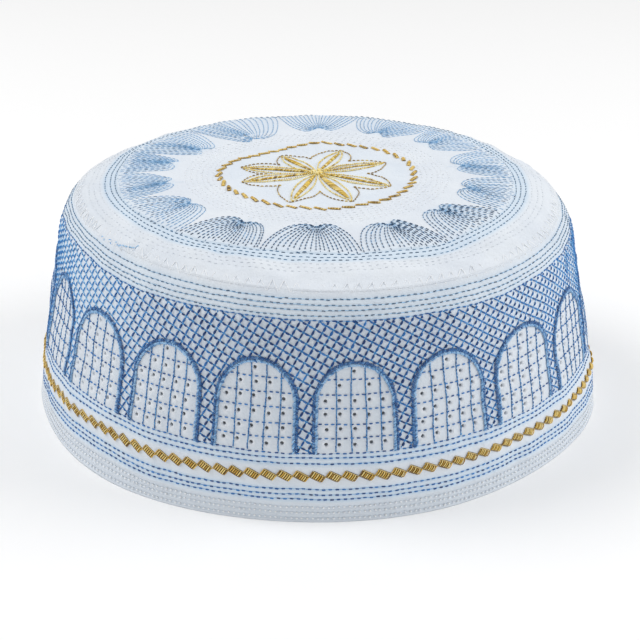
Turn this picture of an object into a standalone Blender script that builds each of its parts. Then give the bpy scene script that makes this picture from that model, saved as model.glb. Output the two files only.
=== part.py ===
"""Embroidered prayer cap, standing on its rim.

Metres, +Z up. The rim lies on z = 0, centred on the origin, and the front of the cap looks along -Y.
Sizes in the tables below are in millimetres and are multiplied by MM.
"""

import math

import bmesh
import bpy

MM = 0.001

# Side wall: height, mean outer radius
WALL_PROFILE = (
    (0.0, 95.4),
    (8.0, 94.6),
    (16.0, 93.8),
    (26.0, 92.4),
    (36.0, 90.9),
    (46.0, 89.4),
    (56.0, 88.0),
    (66.0, 86.4),
    (70.0, 84.9),
    (74.0, 82.0),
)
WALL_TOP = 74.0
# How the soft wall leaves a true circle: waves round the cap, cosine part, sine part
HEM_WAVES = (
    (1, -0.4, 1.0),
    (2, 1.9, -0.2),
    (3, 0.6, 1.1),
    (4, 0.5, -0.8),
    (5, 0.9, 0.7),
)
TOP_WAVES = (
    (1, 0.9, -0.5),
    (2, -0.5, -0.1),
    (3, -0.9, 0.8),
    (4, 0.0, -0.2),
)
TOP_LEAN = -0.4      # the upper edge sits this much higher on the left
BACK_SAG = 3.4       # and this much lower at the back
CLOTH = 1.8          # quilted cotton, two layers
HEM_CLOTH = 2.6      # where the lower edge is turned up
HEM_HEIGHT = 7.0

# Crown: distance from the middle, drop below the middle
CROWN_TOP = 81.4
CROWN_PROFILE = (
    (0.0, 0.0),
    (32.0, 0.3),
    (47.0, 0.6),
    (60.0, 1.1),
    (70.9, 2.1),
)
CROWN_LEAN_X = 0.005
CROWN_LEAN_Y = 0.010
BACK_ROLL = 0.45
BACK_ROLL_START = 56.0
CROWN_RIM = 70.9     # where the embroidery ends and the plain edge rolls down
EDGE_ROLL = (
    (0.0, 0.0),
    (0.3, 0.2),
    (0.6, 0.5),
    (0.85, 0.82),
    (1.0, 1.0),
)
CROWN_CLOTH = 1.6

SEAM_GAP = 0.3       # between crown and wall, and under every trim
SEGMENTS = 72

# Arched windows round the wall
ARCHES = 18
ARCH_TURN = -1.7     # degrees, the middle pillar from the front
ARCH_FOOT = 23.2
ARCH_SPRING = 39.2
ARCH_CROWN = 52.5
ARCH_HALF_WIDTH = 13.0
CORD_WIDTH = 1.7
CORD_HEIGHT = 0.9
CORD_STEPS = 15

# Where the stitching strays on the soft wall: direction in degrees, turn in degrees,
# rise at the arches, rise near the hem, further turn at the top of the arches
STRAY = (
    (-180.0, 0.0, 1.2, 0.0, 1.5),
    (-165.0, -0.6, 1.9, 0.0, 2.5),
    (-152.9, -1.2, 1.6, 0.2, 2.3),
    (-142.0, 0.2, 0.5, 1.1, 1.0),
    (-137.0, 0.7, 0.2, 1.4, 0.7),
    (-131.0, 0.8, 0.0, 0.9, 0.6),
    (-122.0, 0.5, 0.0, 0.1, 0.8),
    (-111.4, 0.3, 0.0, 0.0, 0.6),
    (-91.7, 0.0, 0.0, 0.0, 0.1),
    (-72.0, -0.3, 0.0, 0.0, -0.8),
    (-52.0, -0.3, 0.0, 0.0, -1.15),
    (-31.0, 0.8, 0.6, 0.0, -1.0),
    (-11.4, 0.3, 1.0, 0.0, -0.9),
    (10.0, 0.0, 0.6, 0.0, -0.4),
    (40.0, 0.0, 0.0, 0.0, 0.0),
    (140.0, 0.0, 0.0, 0.0, 0.0),
    (180.0, 0.0, 1.2, 0.0, 1.5),
)

# Gold braid of slanted blocks round the wall
BRAID_BLOCKS = 113
BRAID_HEIGHT = 15.7
BRAID_RISE = 0.9     # half of the fall from one end of a block to the other
BRAID_HALF_WIDTH = 1.3
BRAID_THICKNESS = 0.7

# Gold ring and flower on the crown
# The ring's hand-drawn outline: direction in degrees, radius
RING_OUTLINE = (
    (-180.0, 33.2),
    (-135.0, 32.2),
    (-90.0, 32.5),
    (-45.0, 32.8),
    (0.0, 32.8),
    (30.0, 33.4),
    (60.0, 32.0),
    (90.0, 31.0),
    (107.0, 28.8),
    (121.0, 26.4),
    (142.0, 28.0),
    (160.0, 31.0),
    (180.0, 33.2),
)
RING_BLOCKS = 44
RING_HALF_WIDTH = 0.7
RING_RISE = -0.5     # here each block runs outwards
RING_THICKNESS = 0.6
# Petals of the flower: direction in degrees, length
PETALS = (
    (27.0, 25.9),
    (70.0, 24.8),
    (127.0, 20.5),
    (168.0, 25.9),
    (200.0, 26.0),
    (253.0, 27.6),
    (294.0, 28.2),
    (334.0, 26.8),
)
FLOWER_VALLEY = 0.63  # the outline between two petals, as a share of their length
FLOWER_THICKNESS = 0.8
FLOWER_STEPS = 10    # outline points on each petal


def lookUp(table, value):
    """Smooth monotone reading of a two-column table."""
    xs = [row[0] for row in table]
    ys = [row[1] for row in table]
    if value <= xs[0]:
        return ys[0]
    if value >= xs[-1]:
        return ys[-1]
    slopes = [(ys[i + 1] - ys[i]) / (xs[i + 1] - xs[i]) for i in range(len(xs) - 1)]
    tangents = [slopes[0]]
    for before, after in zip(slopes, slopes[1:]):
        same = before * after > 0
        tangents.append(2 * before * after / (before + after) if same else 0.0)
    tangents.append(slopes[-1])
    i = max(k for k in range(len(xs) - 1) if xs[k] <= value)
    span = xs[i + 1] - xs[i]
    t = (value - xs[i]) / span
    start = (1 + 2 * t) * (1 - t) ** 2 * ys[i] + t * (1 - t) ** 2 * span * tangents[i]
    end = t * t * (3 - 2 * t) * ys[i + 1] + t * t * (t - 1) * span * tangents[i + 1]
    return start + end


def backShare(angle):
    return max(0.0, math.sin(angle)) ** 2


def waves(table, angle):
    """Sum of the waves. The short ones fade out towards the back."""
    total = 0.0
    for k, c, s in table:
        fade = 1.0 if k < 4 else 1.0 - 0.8 * backShare(angle)
        total += fade * (c * math.cos(k * angle) + s * math.sin(k * angle))
    return total


def topHeight(angle):
    return WALL_TOP + TOP_LEAN * math.cos(angle) - BACK_SAG * backShare(angle)


def wallRadius(height, angle):
    share = height / WALL_TOP
    soft = waves(HEM_WAVES, angle) * (1 - share) + waves(TOP_WAVES, angle) * share
    return lookUp(WALL_PROFILE, height) + soft


def rimMiddle():
    """Middle of the rim's outline, which is moved onto the origin."""
    turns = [2 * math.pi * k / 360 for k in range(360)]
    xs = [wallRadius(0.0, a) * math.cos(a) for a in turns]
    ys = [wallRadius(0.0, a) * math.sin(a) for a in turns]
    return (0.5 * (min(xs) + max(xs)), 0.5 * (min(ys) + max(ys)))


def placed(radius, angle, z):
    x = radius * math.cos(angle) - MIDDLE[0]
    y = radius * math.sin(angle) - MIDDLE[1]
    return (x * MM, y * MM, z * MM)


def wallPoint(height, angle, outward=0.0):
    """Point on the wall's outer face, or outward from it. Heights follow the leaning upper edge."""
    radius = wallRadius(height, angle) + outward
    return placed(radius, angle, height * topHeight(angle) / WALL_TOP)


def strayedPoint(height, angle, outward):
    """Point of the embroidery, which does not run quite true round the wall."""
    degrees = (math.degrees(angle) + 180) % 360 - 180
    turn = lookUp([(row[0], row[1]) for row in STRAY], degrees)
    upper = lookUp([(row[0], row[2]) for row in STRAY], degrees)
    lower = lookUp([(row[0], row[3]) for row in STRAY], degrees)
    lean = lookUp([(row[0], row[4]) for row in STRAY], degrees)
    share = min(1.0, max(0.0, (height - 18.0) / 24.0))
    rise = lower + (upper - lower) * share
    turn += lean * min(1.0, max(0.0, (height - 24.0) / 24.0))
    return wallPoint(height + rise, angle + math.radians(turn), outward)


def crownHeight(radius, angle):
    inside = min(radius, CROWN_RIM)
    roll = BACK_ROLL * backShare(angle) * max(0.0, (inside - BACK_ROLL_START) / 12) ** 2
    lean = inside * (CROWN_LEAN_X * math.cos(angle) + CROWN_LEAN_Y * math.sin(angle))
    height = CROWN_TOP - lookUp(CROWN_PROFILE, inside) - roll + lean
    if radius <= CROWN_RIM:
        return height
    rim = crownEdge(angle)
    share = min(1.0, (radius - CROWN_RIM) / (rim - CROWN_RIM))
    back = backShare(angle)
    fall = lookUp(EDGE_ROLL, share) * (1 - back) + share * back
    return height + (topHeight(angle) + SEAM_GAP - height) * fall


def crownEdge(angle):
    return wallRadius(WALL_TOP, angle) - 0.2


def crownPoint(radius, angle, upward=0.0):
    return placed(radius, angle, crownHeight(radius, angle) + upward)


def newObject(name, mesh, colour, roughness):
    material = bpy.data.materials.new(name)
    material.use_nodes = True
    shader = material.node_tree.nodes["Principled BSDF"]
    shader.inputs["Base Color"].default_value = (*colour, 1.0)
    shader.inputs["Roughness"].default_value = roughness
    shader.inputs["Metallic"].default_value = 0.0
    mesh.materials.append(material)
    mesh.shade_smooth()
    mesh.set_sharp_from_angle(angle=math.radians(40))
    thing = bpy.data.objects.new(name, mesh)
    bpy.context.scene.collection.objects.link(thing)
    return thing


def closedBody(name, loops, colour, roughness, ends):
    """Body from a list of point loops. The last loop joins the first, or both get a cap."""
    bm = bmesh.new()
    rings = [[bm.verts.new(point) for point in loop] for loop in loops]
    count = len(rings[0])
    pairs = list(zip(rings, rings[1:]))
    if ends == "joined":
        pairs.append((rings[-1], rings[0]))
    for first, second in pairs:
        for i in range(count):
            j = (i + 1) % count
            bm.faces.new((first[i], first[j], second[j], second[i]))
    if ends == "capped":
        bm.faces.new(rings[0][::-1])
        bm.faces.new(rings[-1])
    bmesh.ops.recalc_face_normals(bm, faces=bm.faces[:])
    mesh = bpy.data.meshes.new(name)
    bm.to_mesh(mesh)
    bm.free()
    return newObject(name, mesh, colour, roughness)


def makeWall():
    outer = (0.0, 3.0, HEM_HEIGHT, 12.0, 19.0, 27.0, 36.0, 45.0, 54.0, 62.0, 68.0, 71.5, WALL_TOP)
    inner = (WALL_TOP, 68.0, 54.0, 36.0, 19.0, 8.5, HEM_HEIGHT, 0.0)
    loops = []
    for k in range(SEGMENTS):
        angle = 2 * math.pi * k / SEGMENTS
        section = [wallPoint(height, angle) for height in outer]
        for height in inner:
            cloth = HEM_CLOTH if height <= HEM_HEIGHT else CLOTH
            section.append(wallPoint(height, angle, -cloth))
        loops.append(section)
    return closedBody("side_wall", loops, (0.80, 0.83, 0.88), 0.85, "joined")


def makeCrown():
    """Domed cloth top: rings from the middle out over the edge, then back in underneath."""
    bm = bmesh.new()
    angles = [2 * math.pi * k / SEGMENTS for k in range(SEGMENTS)]
    rings = []
    for radius in (14.0, 32.0, 47.0, 58.0, 65.0, CROWN_RIM):
        rings.append([crownPoint(radius, a) for a in angles])
    for share in (0.3, 0.6, 0.85, 1.0):
        spots = [CROWN_RIM + share * (crownEdge(a) - CROWN_RIM) for a in angles]
        rings.append([crownPoint(r, a) for r, a in zip(spots, angles)])
    lap = [crownEdge(a) - CLOTH - 0.6 for a in angles]
    rings.append([placed(r, a, topHeight(a) + SEAM_GAP) for r, a in zip(lap, angles)])
    rings.append([crownPoint(r - 1.8, a, -CROWN_CLOTH) for r, a in zip(lap, angles)])
    for radius in (CROWN_RIM, 62.0, 47.0, 24.0):
        rings.append([crownPoint(radius, a, -CROWN_CLOTH) for a in angles])
    verts = [[bm.verts.new(point) for point in ring] for ring in rings]
    top = bm.verts.new(crownPoint(0.0, 0.0))
    bottom = bm.verts.new(crownPoint(0.0, 0.0, -CROWN_CLOTH))
    for first, second in zip(verts, verts[1:]):
        for i in range(SEGMENTS):
            j = (i + 1) % SEGMENTS
            bm.faces.new((first[i], second[i], second[j], first[j]))
    for i in range(SEGMENTS):
        j = (i + 1) % SEGMENTS
        bm.faces.new((top, verts[0][i], verts[0][j]))
        bm.faces.new((bottom, verts[-1][j], verts[-1][i]))
    bmesh.ops.recalc_face_normals(bm, faces=bm.faces[:])
    mesh = bpy.data.meshes.new("crown_panel")
    bm.to_mesh(mesh)
    bm.free()
    return newObject("crown_panel", mesh, (0.80, 0.83, 0.88), 0.85)


def archPath():
    """Middle line of one arch cord, as sideways distance and height."""
    path = []
    for k in range(CORD_STEPS + 1):
        turn = math.pi * k / CORD_STEPS
        side = -ARCH_HALF_WIDTH * math.cos(turn)
        path.append((side, ARCH_SPRING + (ARCH_CROWN - ARCH_SPRING) * math.sin(turn)))
    middle = 0.5 * (ARCH_FOOT + ARCH_SPRING)
    left = [(-ARCH_HALF_WIDTH, ARCH_FOOT), (-ARCH_HALF_WIDTH, middle)]
    right = [(ARCH_HALF_WIDTH, middle), (ARCH_HALF_WIDTH, ARCH_FOOT)]
    return left + path + right


def makeArch(number):
    centre = math.radians(-90.0 + ARCH_TURN + (number + 0.5) * 360.0 / ARCHES)
    foot = wallRadius(ARCH_FOOT, centre)
    path = archPath()
    loops = []
    for k, (side, height) in enumerate(path):
        before = path[max(k - 1, 0)]
        after = path[min(k + 1, len(path) - 1)]
        length = math.hypot(after[0] - before[0], after[1] - before[1])
        across = (-(after[1] - before[1]) / length, (after[0] - before[0]) / length)
        loop = []
        half = CORD_WIDTH / 2
        for offset, lift in ((-half, 0.0), (half, 0.0), (half * 0.45, 1.0), (-half * 0.45, 1.0)):
            angle = centre + (side + across[0] * offset) / foot
            z = height + across[1] * offset
            loop.append(strayedPoint(z, angle, SEAM_GAP + lift * CORD_HEIGHT))
        loops.append(loop)
    name = "arch_trim_%02d" % (number + 1)
    return closedBody(name, loops, (0.06, 0.15, 0.42), 0.55, "capped")


def toothedBand(name, blocks, middle, half, rise, place, thickness, colour):
    """Closed band of slanted blocks: each block leans, and the next one steps back."""
    loops = []
    for k in range(blocks * 2):
        inBlock = (k % 2) * 0.84
        angle = 2 * math.pi * (k // 2 + inBlock) / blocks
        shift = rise * (0.5 - k % 2) * 2
        low = middle + shift - half
        high = middle + shift + half
        section = [place(low, angle, SEAM_GAP), place(high, angle, SEAM_GAP)]
        section.append(place(high - 0.25, angle, SEAM_GAP + thickness))
        section.append(place(low + 0.25, angle, SEAM_GAP + thickness))
        loops.append(section)
    return closedBody(name, loops, colour, 0.45, "joined")


def makeFlower():
    """Eight petals round a heart, one low body that lies on the crown."""
    outline = []
    directions = [math.radians(row[0]) for row in PETALS]
    for k, (degrees, length) in enumerate(PETALS):
        before = directions[k - 1] - (2 * math.pi if k == 0 else 0)
        after = directions[(k + 1) % len(PETALS)] + (2 * math.pi if k == len(PETALS) - 1 else 0)
        here = math.radians(degrees)
        sides = (PETALS[k - 1][1], PETALS[(k + 1) % len(PETALS)][1])
        for i in range(FLOWER_STEPS):
            t = (i + 0.5) / FLOWER_STEPS * 2 - 1
            reach = 0.5 * (here - before) if t < 0 else 0.5 * (after - here)
            valley = FLOWER_VALLEY * 0.5 * (length + sides[0 if t < 0 else 1])
            radius = valley + (length - valley) * (1 - abs(t)) ** 0.8
            outline.append((radius, here + t * reach))
    bm = bmesh.new()
    rings = []
    for share, lift in ((0.35, 1.0), (0.97, 0.8), (1.0, 0.0), (0.35, 0.0)):
        ring = []
        for radius, angle in outline:
            height = SEAM_GAP + lift * FLOWER_THICKNESS
            ring.append(bm.verts.new(crownPoint(radius * share, angle, height)))
        rings.append(ring)
    top = bm.verts.new(crownPoint(0.0, 0.0, SEAM_GAP + FLOWER_THICKNESS))
    bottom = bm.verts.new(crownPoint(0.0, 0.0, SEAM_GAP))
    count = len(outline)
    for first, second in zip(rings, rings[1:]):
        for i in range(count):
            j = (i + 1) % count
            bm.faces.new((first[i], second[i], second[j], first[j]))
    for i in range(count):
        j = (i + 1) % count
        bm.faces.new((top, rings[0][i], rings[0][j]))
        bm.faces.new((bottom, rings[-1][j], rings[-1][i]))
    bmesh.ops.recalc_face_normals(bm, faces=bm.faces[:])
    mesh = bpy.data.meshes.new("gold_flower")
    bm.to_mesh(mesh)
    bm.free()
    return newObject("gold_flower", mesh, (0.55, 0.34, 0.08), 0.45)


def braidPlace(height, angle, outward):
    return strayedPoint(height, angle, outward)


def ringPlace(offset, angle, upward):
    degrees = (math.degrees(angle) + 180) % 360 - 180
    return crownPoint(lookUp(RING_OUTLINE, degrees) + offset, angle, upward)


for thing in list(bpy.data.objects):
    bpy.data.objects.remove(thing, do_unlink=True)

MIDDLE = rimMiddle()
gold = (0.55, 0.34, 0.08)
makeWall()
makeCrown()
for number in range(ARCHES):
    makeArch(number)
toothedBand(
    "gold_braid", BRAID_BLOCKS, BRAID_HEIGHT, BRAID_HALF_WIDTH, BRAID_RISE,
    braidPlace, BRAID_THICKNESS, gold,
)
toothedBand(
    "gold_ring", RING_BLOCKS, 0.0, RING_HALF_WIDTH, RING_RISE,
    ringPlace, RING_THICKNESS, gold,
)
makeFlower()
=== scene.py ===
import math
import bpy
import numpy as np
from mathutils import Matrix
from mathutils.geometry import delaunay_2d_cdt


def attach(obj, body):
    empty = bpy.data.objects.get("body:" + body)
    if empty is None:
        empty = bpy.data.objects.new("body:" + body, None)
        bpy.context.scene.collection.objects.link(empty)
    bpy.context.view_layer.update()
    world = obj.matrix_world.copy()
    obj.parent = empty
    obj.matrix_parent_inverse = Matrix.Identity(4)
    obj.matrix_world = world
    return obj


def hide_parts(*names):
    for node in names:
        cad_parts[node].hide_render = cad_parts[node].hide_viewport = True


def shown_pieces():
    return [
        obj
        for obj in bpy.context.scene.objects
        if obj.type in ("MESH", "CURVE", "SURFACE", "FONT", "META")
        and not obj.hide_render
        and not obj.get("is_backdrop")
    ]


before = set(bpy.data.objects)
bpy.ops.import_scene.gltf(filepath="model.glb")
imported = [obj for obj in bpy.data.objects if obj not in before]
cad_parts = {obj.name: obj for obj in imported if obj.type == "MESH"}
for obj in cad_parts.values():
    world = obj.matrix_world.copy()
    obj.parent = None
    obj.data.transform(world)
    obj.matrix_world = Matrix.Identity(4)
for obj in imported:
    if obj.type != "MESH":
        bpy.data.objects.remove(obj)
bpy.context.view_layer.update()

mm = 0.001

# The bare shape of the cap, the same numbers as its solids. Millimetres and degrees.
# Angles run round the cap from above: -90 is the front, 0 the right-hand side of the picture.
wall = {
    "profile": (         # height, mean outer radius
        (0.0, 95.4), (8.0, 94.6), (16.0, 93.8), (26.0, 92.4), (36.0, 90.9),
        (46.0, 89.4), (56.0, 88.0), (66.0, 86.4), (70.0, 84.9), (74.0, 82.0),
    ),
    "top": 74.0,
    "hemWaves": ((1, -0.4, 1.0), (2, 1.9, -0.2), (3, 0.6, 1.1), (4, 0.5, -0.8), (5, 0.9, 0.7)),
    "topWaves": ((1, 0.9, -0.5), (2, -0.5, -0.1), (3, -0.9, 0.8), (4, 0.0, -0.2)),
    "topLean": -0.4,
    "backSag": 3.4,
    "cloth": 1.8,        # two layers of quilted cotton
    "hemCloth": 2.6,     # where the lower edge is turned up
}

crown = {
    "top": 81.4,
    "profile": ((0.0, 0.0), (32.0, 0.3), (47.0, 0.6), (60.0, 1.1), (70.9, 2.1)),
    "leanX": 0.005,
    "leanY": 0.010,
    "backRoll": 0.45,
    "backRollStart": 56.0,
    "rim": 70.9,         # where the embroidery ends and the plain edge rolls down
    "edgeRoll": ((0.0, 0.0), (0.3, 0.2), (0.6, 0.5), (0.85, 0.82), (1.0, 1.0)),
    "cloth": 1.6,
}

# Where the stitching strays on the soft wall: direction, turn, rise at the arches, rise near the hem,
# further turn at the top of the arches
stray = (
    (-180.0, 0.0, 1.2, 0.0, 1.5), (-165.0, -0.6, 1.9, 0.0, 2.5), (-152.9, -1.2, 1.6, 0.2, 2.3),
    (-142.0, 0.2, 0.5, 1.1, 1.0), (-137.0, 0.7, 0.2, 1.4, 0.7), (-131.0, 0.8, 0.0, 0.9, 0.6),
    (-122.0, 0.5, 0.0, 0.1, 0.8), (-111.4, 0.3, 0.0, 0.0, 0.6), (-91.7, 0.0, 0.0, 0.0, 0.1),
    (-72.0, -0.3, 0.0, 0.0, -0.8), (-52.0, -0.3, 0.0, 0.0, -1.15), (-31.0, 0.8, 0.6, 0.0, -1.0),
    (-11.4, 0.3, 1.0, 0.0, -0.9), (10.0, 0.0, 0.6, 0.0, -0.4), (40.0, 0.0, 0.0, 0.0, 0.0),
    (140.0, 0.0, 0.0, 0.0, 0.0), (180.0, 0.0, 1.2, 0.0, 1.5),
)

# How far out the rows of stitching stray on the crown: direction, distance
crownStray = (
    (-180.0, 0.5), (-170.0, 0.3), (-150.0, -0.4), (-130.0, 0.0), (-100.0, -0.1), (-80.0, 0.4),
    (-70.0, 1.4), (-58.0, 2.9), (-50.0, 1.6), (-40.0, 1.0), (-20.0, 0.3), (0.0, -0.5), (10.0, -0.7),
    (60.0, 0.0), (140.0, 0.8), (160.0, 2.0), (170.0, 0.9), (180.0, 0.5),
)


def lookUp(table, values, column=1):
    # smooth reading of a table, without overshoot
    xs = np.array([row[0] for row in table])
    ys = np.array([row[column] for row in table])
    slopes = np.diff(ys) / np.diff(xs)
    product = slopes[:-1] * slopes[1:]
    total = np.where(product > 0, slopes[:-1] + slopes[1:], 1.0)
    inner = np.where(product > 0, 2 * product / total, 0.0)
    tangents = np.concatenate(([slopes[0]], inner, [slopes[-1]]))
    value = np.clip(np.asarray(values, dtype=float), xs[0], xs[-1])
    i = np.clip(np.searchsorted(xs, value, side="right") - 1, 0, len(xs) - 2)
    span = xs[i + 1] - xs[i]
    t = (value - xs[i]) / span
    start = (1 + 2 * t) * (1 - t) ** 2 * ys[i] + t * (1 - t) ** 2 * span * tangents[i]
    end = t * t * (3 - 2 * t) * ys[i + 1] + t * t * (t - 1) * span * tangents[i + 1]
    return start + end


def unit(vectors):
    return vectors / np.linalg.norm(vectors, axis=-1, keepdims=True)


def wrapped(degrees):
    # the same direction, from -180 to 180
    return (np.asarray(degrees, dtype=float) + 180.0) % 360.0 - 180.0


def together(a, b):
    # both as arrays of one shape
    return np.broadcast_arrays(np.asarray(a, dtype=float), np.asarray(b, dtype=float))


def ramp(values, start, finish):
    # 0 up to the start, 1 from the finish on
    return np.clip((values - start) / (finish - start), 0.0, 1.0)


def bump(values, spot, width):
    # 1 at the spot, 0 away from it
    return np.exp(-((values - spot) / width) ** 2)


def backShare(angle):
    return np.maximum(0.0, np.sin(angle)) ** 2


def waves(table, angle):
    total = 0.0
    for k, c, s in table:
        fade = 1.0 if k < 4 else 1.0 - 0.8 * backShare(angle)
        total = total + fade * (c * np.cos(k * angle) + s * np.sin(k * angle))
    return total


def topHeight(angle):
    return wall["top"] + wall["topLean"] * np.cos(angle) - wall["backSag"] * backShare(angle)


def wallRadius(height, angle):
    share = height / wall["top"]
    soft = waves(wall["hemWaves"], angle) * (1 - share) + waves(wall["topWaves"], angle) * share
    return lookUp(wall["profile"], height) + soft


def rimMiddle():
    turns = np.radians(np.arange(360))
    sides = (wallRadius(0.0, turns) * np.cos(turns), wallRadius(0.0, turns) * np.sin(turns))
    return [0.5 * (side.min() + side.max()) for side in sides]


middle = rimMiddle()


def placed(radius, angle, z):
    x = radius * np.cos(angle) - middle[0]
    y = radius * np.sin(angle) - middle[1]
    return np.stack(np.broadcast_arrays(x, y, z), axis=-1) * mm


def wallBase(height, angle):
    return placed(wallRadius(height, angle), angle, height * topHeight(angle) / wall["top"])


def crownEdge(angle):
    return wallRadius(wall["top"], angle) - 0.2


def crownHeight(radius, angle):
    inside = np.minimum(radius, crown["rim"])
    back = backShare(angle)
    roll = crown["backRoll"] * back * np.maximum(0.0, (inside - crown["backRollStart"]) / 12) ** 2
    lean = inside * (crown["leanX"] * np.cos(angle) + crown["leanY"] * np.sin(angle))
    height = crown["top"] - lookUp(crown["profile"], inside) - roll + lean
    share = ramp(radius, crown["rim"], crownEdge(angle))
    fall = lookUp(crown["edgeRoll"], share) * (1 - back) + share * back
    return height + (topHeight(angle) + 0.1 - height) * fall


def crownBase(radius, angle):
    return placed(radius, angle, crownHeight(radius, angle))


def raised(base, along, angle, turn, sense, height):
    # the point at that height over a bare face, and the direction straight out of it
    around = base(along, angle + turn) - base(along, angle - turn)
    onward = base(along + 0.4, angle) - base(along - 0.4, angle)
    up = sense * unit(np.cross(around, onward))
    return base(along, angle) + up * (height * mm)[..., None], up


def softWaves(seed, count, longest, shortest, size):
    # a gentle unevenness that closes round the cap
    rng = np.random.default_rng(seed)
    length = shortest * (longest / shortest) ** rng.random(count)
    heading = rng.random(count) * 2 * math.pi
    around = np.round(560.0 / length * np.cos(heading))
    upward = 2 * math.pi / length * np.sin(heading)
    phase = rng.random(count) * 2 * math.pi
    share = size * (length / longest) ** 0.7 / math.sqrt(count / 2)

    def swell(u, v):
        total = 0.0
        for k, g, p, s in zip(around, upward, phase, share):
            total = total + s * np.sin(k * np.radians(u) + g * v + p)
        return total
    return swell


# The embroidery round the wall, on a chart of direction (u, degrees) and height (v, millimetres)
stitching = {
    "blueRows": (71.7, 70.1, 68.6, 67.1, 65.7, 23.2, 21.6, 19.7, 11.1, 9.3, 7.8),
    "hemRows": (5.0, 3.2, 1.2),
    "latticeTop": 65.6,
    "pitch": 2.14,
    "dash": 1.52,
}

arches = {
    "count": 18,
    "turn": -1.7,
    "foot": 23.2,
    "spring": 39.2,
    "crown": 52.5,
    "halfWidth": 13.0,
    "gridSides": (-6.6, -1.75, 3.1, 7.95),
    "gridSlip": {0: 0.45, 1: 0.2, 2: -1.0, 15: -0.5, 16: -0.6},     # arch, how far its upright lines are off
    "gridHeights": (28.2, 32.7, 37.7, 42.3, 47.2),
    "holeRows": (50.0, 45.2, 40.5, 35.7, 31.0, 26.2),
    "holeColumns": (-10.0, -5.3, -0.65, 4.3, 8.85),
    "holeRadius": 0.62,
}

archCentres = -90.0 + arches["turn"] + (np.arange(arches["count"]) + 0.5) * 360.0 / arches["count"]
archFeet = wallRadius(arches["foot"], np.radians(archCentres))
gridSlips = np.array([arches["gridSlip"].get(n, 0.0) for n in range(arches["count"])])


def fromArch(u):
    # which arch a direction belongs to, and how far it is from the middle of that arch
    number = np.floor((np.asarray(u) + 90.0 - arches["turn"]) * arches["count"] / 360.0).astype(int)
    number = number % arches["count"]
    return number, np.radians(wrapped(u - archCentres[number])) * archFeet[number]


def archOutline(side, height, grow):
    # under 1 inside the arch, grown by that much
    rise = arches["crown"] - arches["spring"] + grow
    over = np.maximum(0.0, height - arches["spring"]) / rise
    return np.sqrt((side / (arches["halfWidth"] + grow)) ** 2 + over ** 2)


def strayed(u, v):
    turn, high, low, lean = (lookUp(stray, wrapped(u), column) for column in (1, 2, 3, 4))
    share = ramp(v, 18.0, 42.0)
    calm = ramp(v, 0.0, 4.0) * ramp(v, wall["top"], wall["top"] - 6.0)
    rise = (low * (1 - share) + high * share) * calm
    return np.radians(u + turn + lean * ramp(v, 24.0, 48.0)), v + rise


wallRelief = {
    "swell": softWaves(3, 16, 46.0, 9.0, 0.34),
    "blueRows": (0.24, 0.5),     # depth and width of the furrow along a row
    "hemRows": (0.60, 0.6),
    "grid": (0.12, 0.7),         # the same for the grid of a window
    "windowPuff": 0.11,
}


def reliefOnWall(u, v):
    u, v = together(u, v)
    total = wallRelief["swell"](u, v) * np.clip(v / 6.0, 0.25, 1.0) * np.clip((74.5 - v) / 6.0, 0.1, 1.0)
    for rows in ("blueRows", "hemRows"):
        depth, width = wallRelief[rows]
        for row in stitching[rows]:
            total = total - depth * bump(v, row, width)
    number, side = fromArch(u)
    inside = ramp(archOutline(side, v, -0.8), 1.0, 0.875) * (v > arches["foot"])
    lines = np.zeros_like(total)
    depth, width = wallRelief["grid"]
    for off, spots in ((side - gridSlips[number], arches["gridSides"]), (v, arches["gridHeights"])):
        for spot in spots:
            lines = np.maximum(lines, bump(off, spot, width))
    return total + inside * (wallRelief["windowPuff"] - depth * lines)


def onWall(u, v, lift=0.0):
    # point on the quilted face of the wall, and the direction straight out of it
    u, v = together(u, v)
    angle, height = strayed(u, v)
    return raised(wallBase, height, angle, 0.01, 1, reliefOnWall(u, v) + lift)


# The embroidery on the crown, on a chart of direction (u, degrees) and distance from the middle (r)
crownStitching = {
    "blueRows": (71.1, 69.0, 67.0),
    "greyRows": (73.0, 74.7, 76.4),
    "quiltRows": (35.2, 37.0, 38.8, 40.6, 42.4, 44.2),
    "shellBase": 66.8,
    "ribs": 21,
}

# The fourteen shells: where each begins and ends, its notch, how near its lobes come to the middle,
# how light its thread is, painted shade on the front shells and painted light on the others, and how wide
shells = (
    (-105.5, -77.5, -90.0, 46.2, 0.16, 0.38), (-77.5, -53.0, -63.5, 48.5, 0.20, 0.36),
    (-53.0, -27.5, -39.5, 48.6, 0.30, 0.31), (-27.5, 0.5, -14.0, 48.8, 0.64, 0.21),
    (0.5, 27.0, 10.5, 47.8, 0.80, 0.18), (27.0, 51.5, 40.0, 48.7, 0.86, 0.18),
    (51.5, 77.0, 63.3, 46.3, 0.88, 0.20), (77.0, 103.0, 89.5, 45.8, 0.90, 0.21),
    (103.0, 134.0, 122.5, 40.0, 0.90, 0.19), (134.0, 159.5, 150.3, 44.3, 0.90, 0.17),
    (159.5, 178.5, 168.5, 48.6, 0.88, 0.16), (178.5, 199.5, 192.0, 48.6, 0.84, 0.16),
    (199.5, 229.0, 215.5, 47.5, 0.66, 0.21), (229.0, 254.5, 243.0, 47.5, 0.24, 0.34),
)

zigzag = {"count": 136, "reach": 2.4, "down": 1.0, "width": 0.32, "rise": 0.26}

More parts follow.
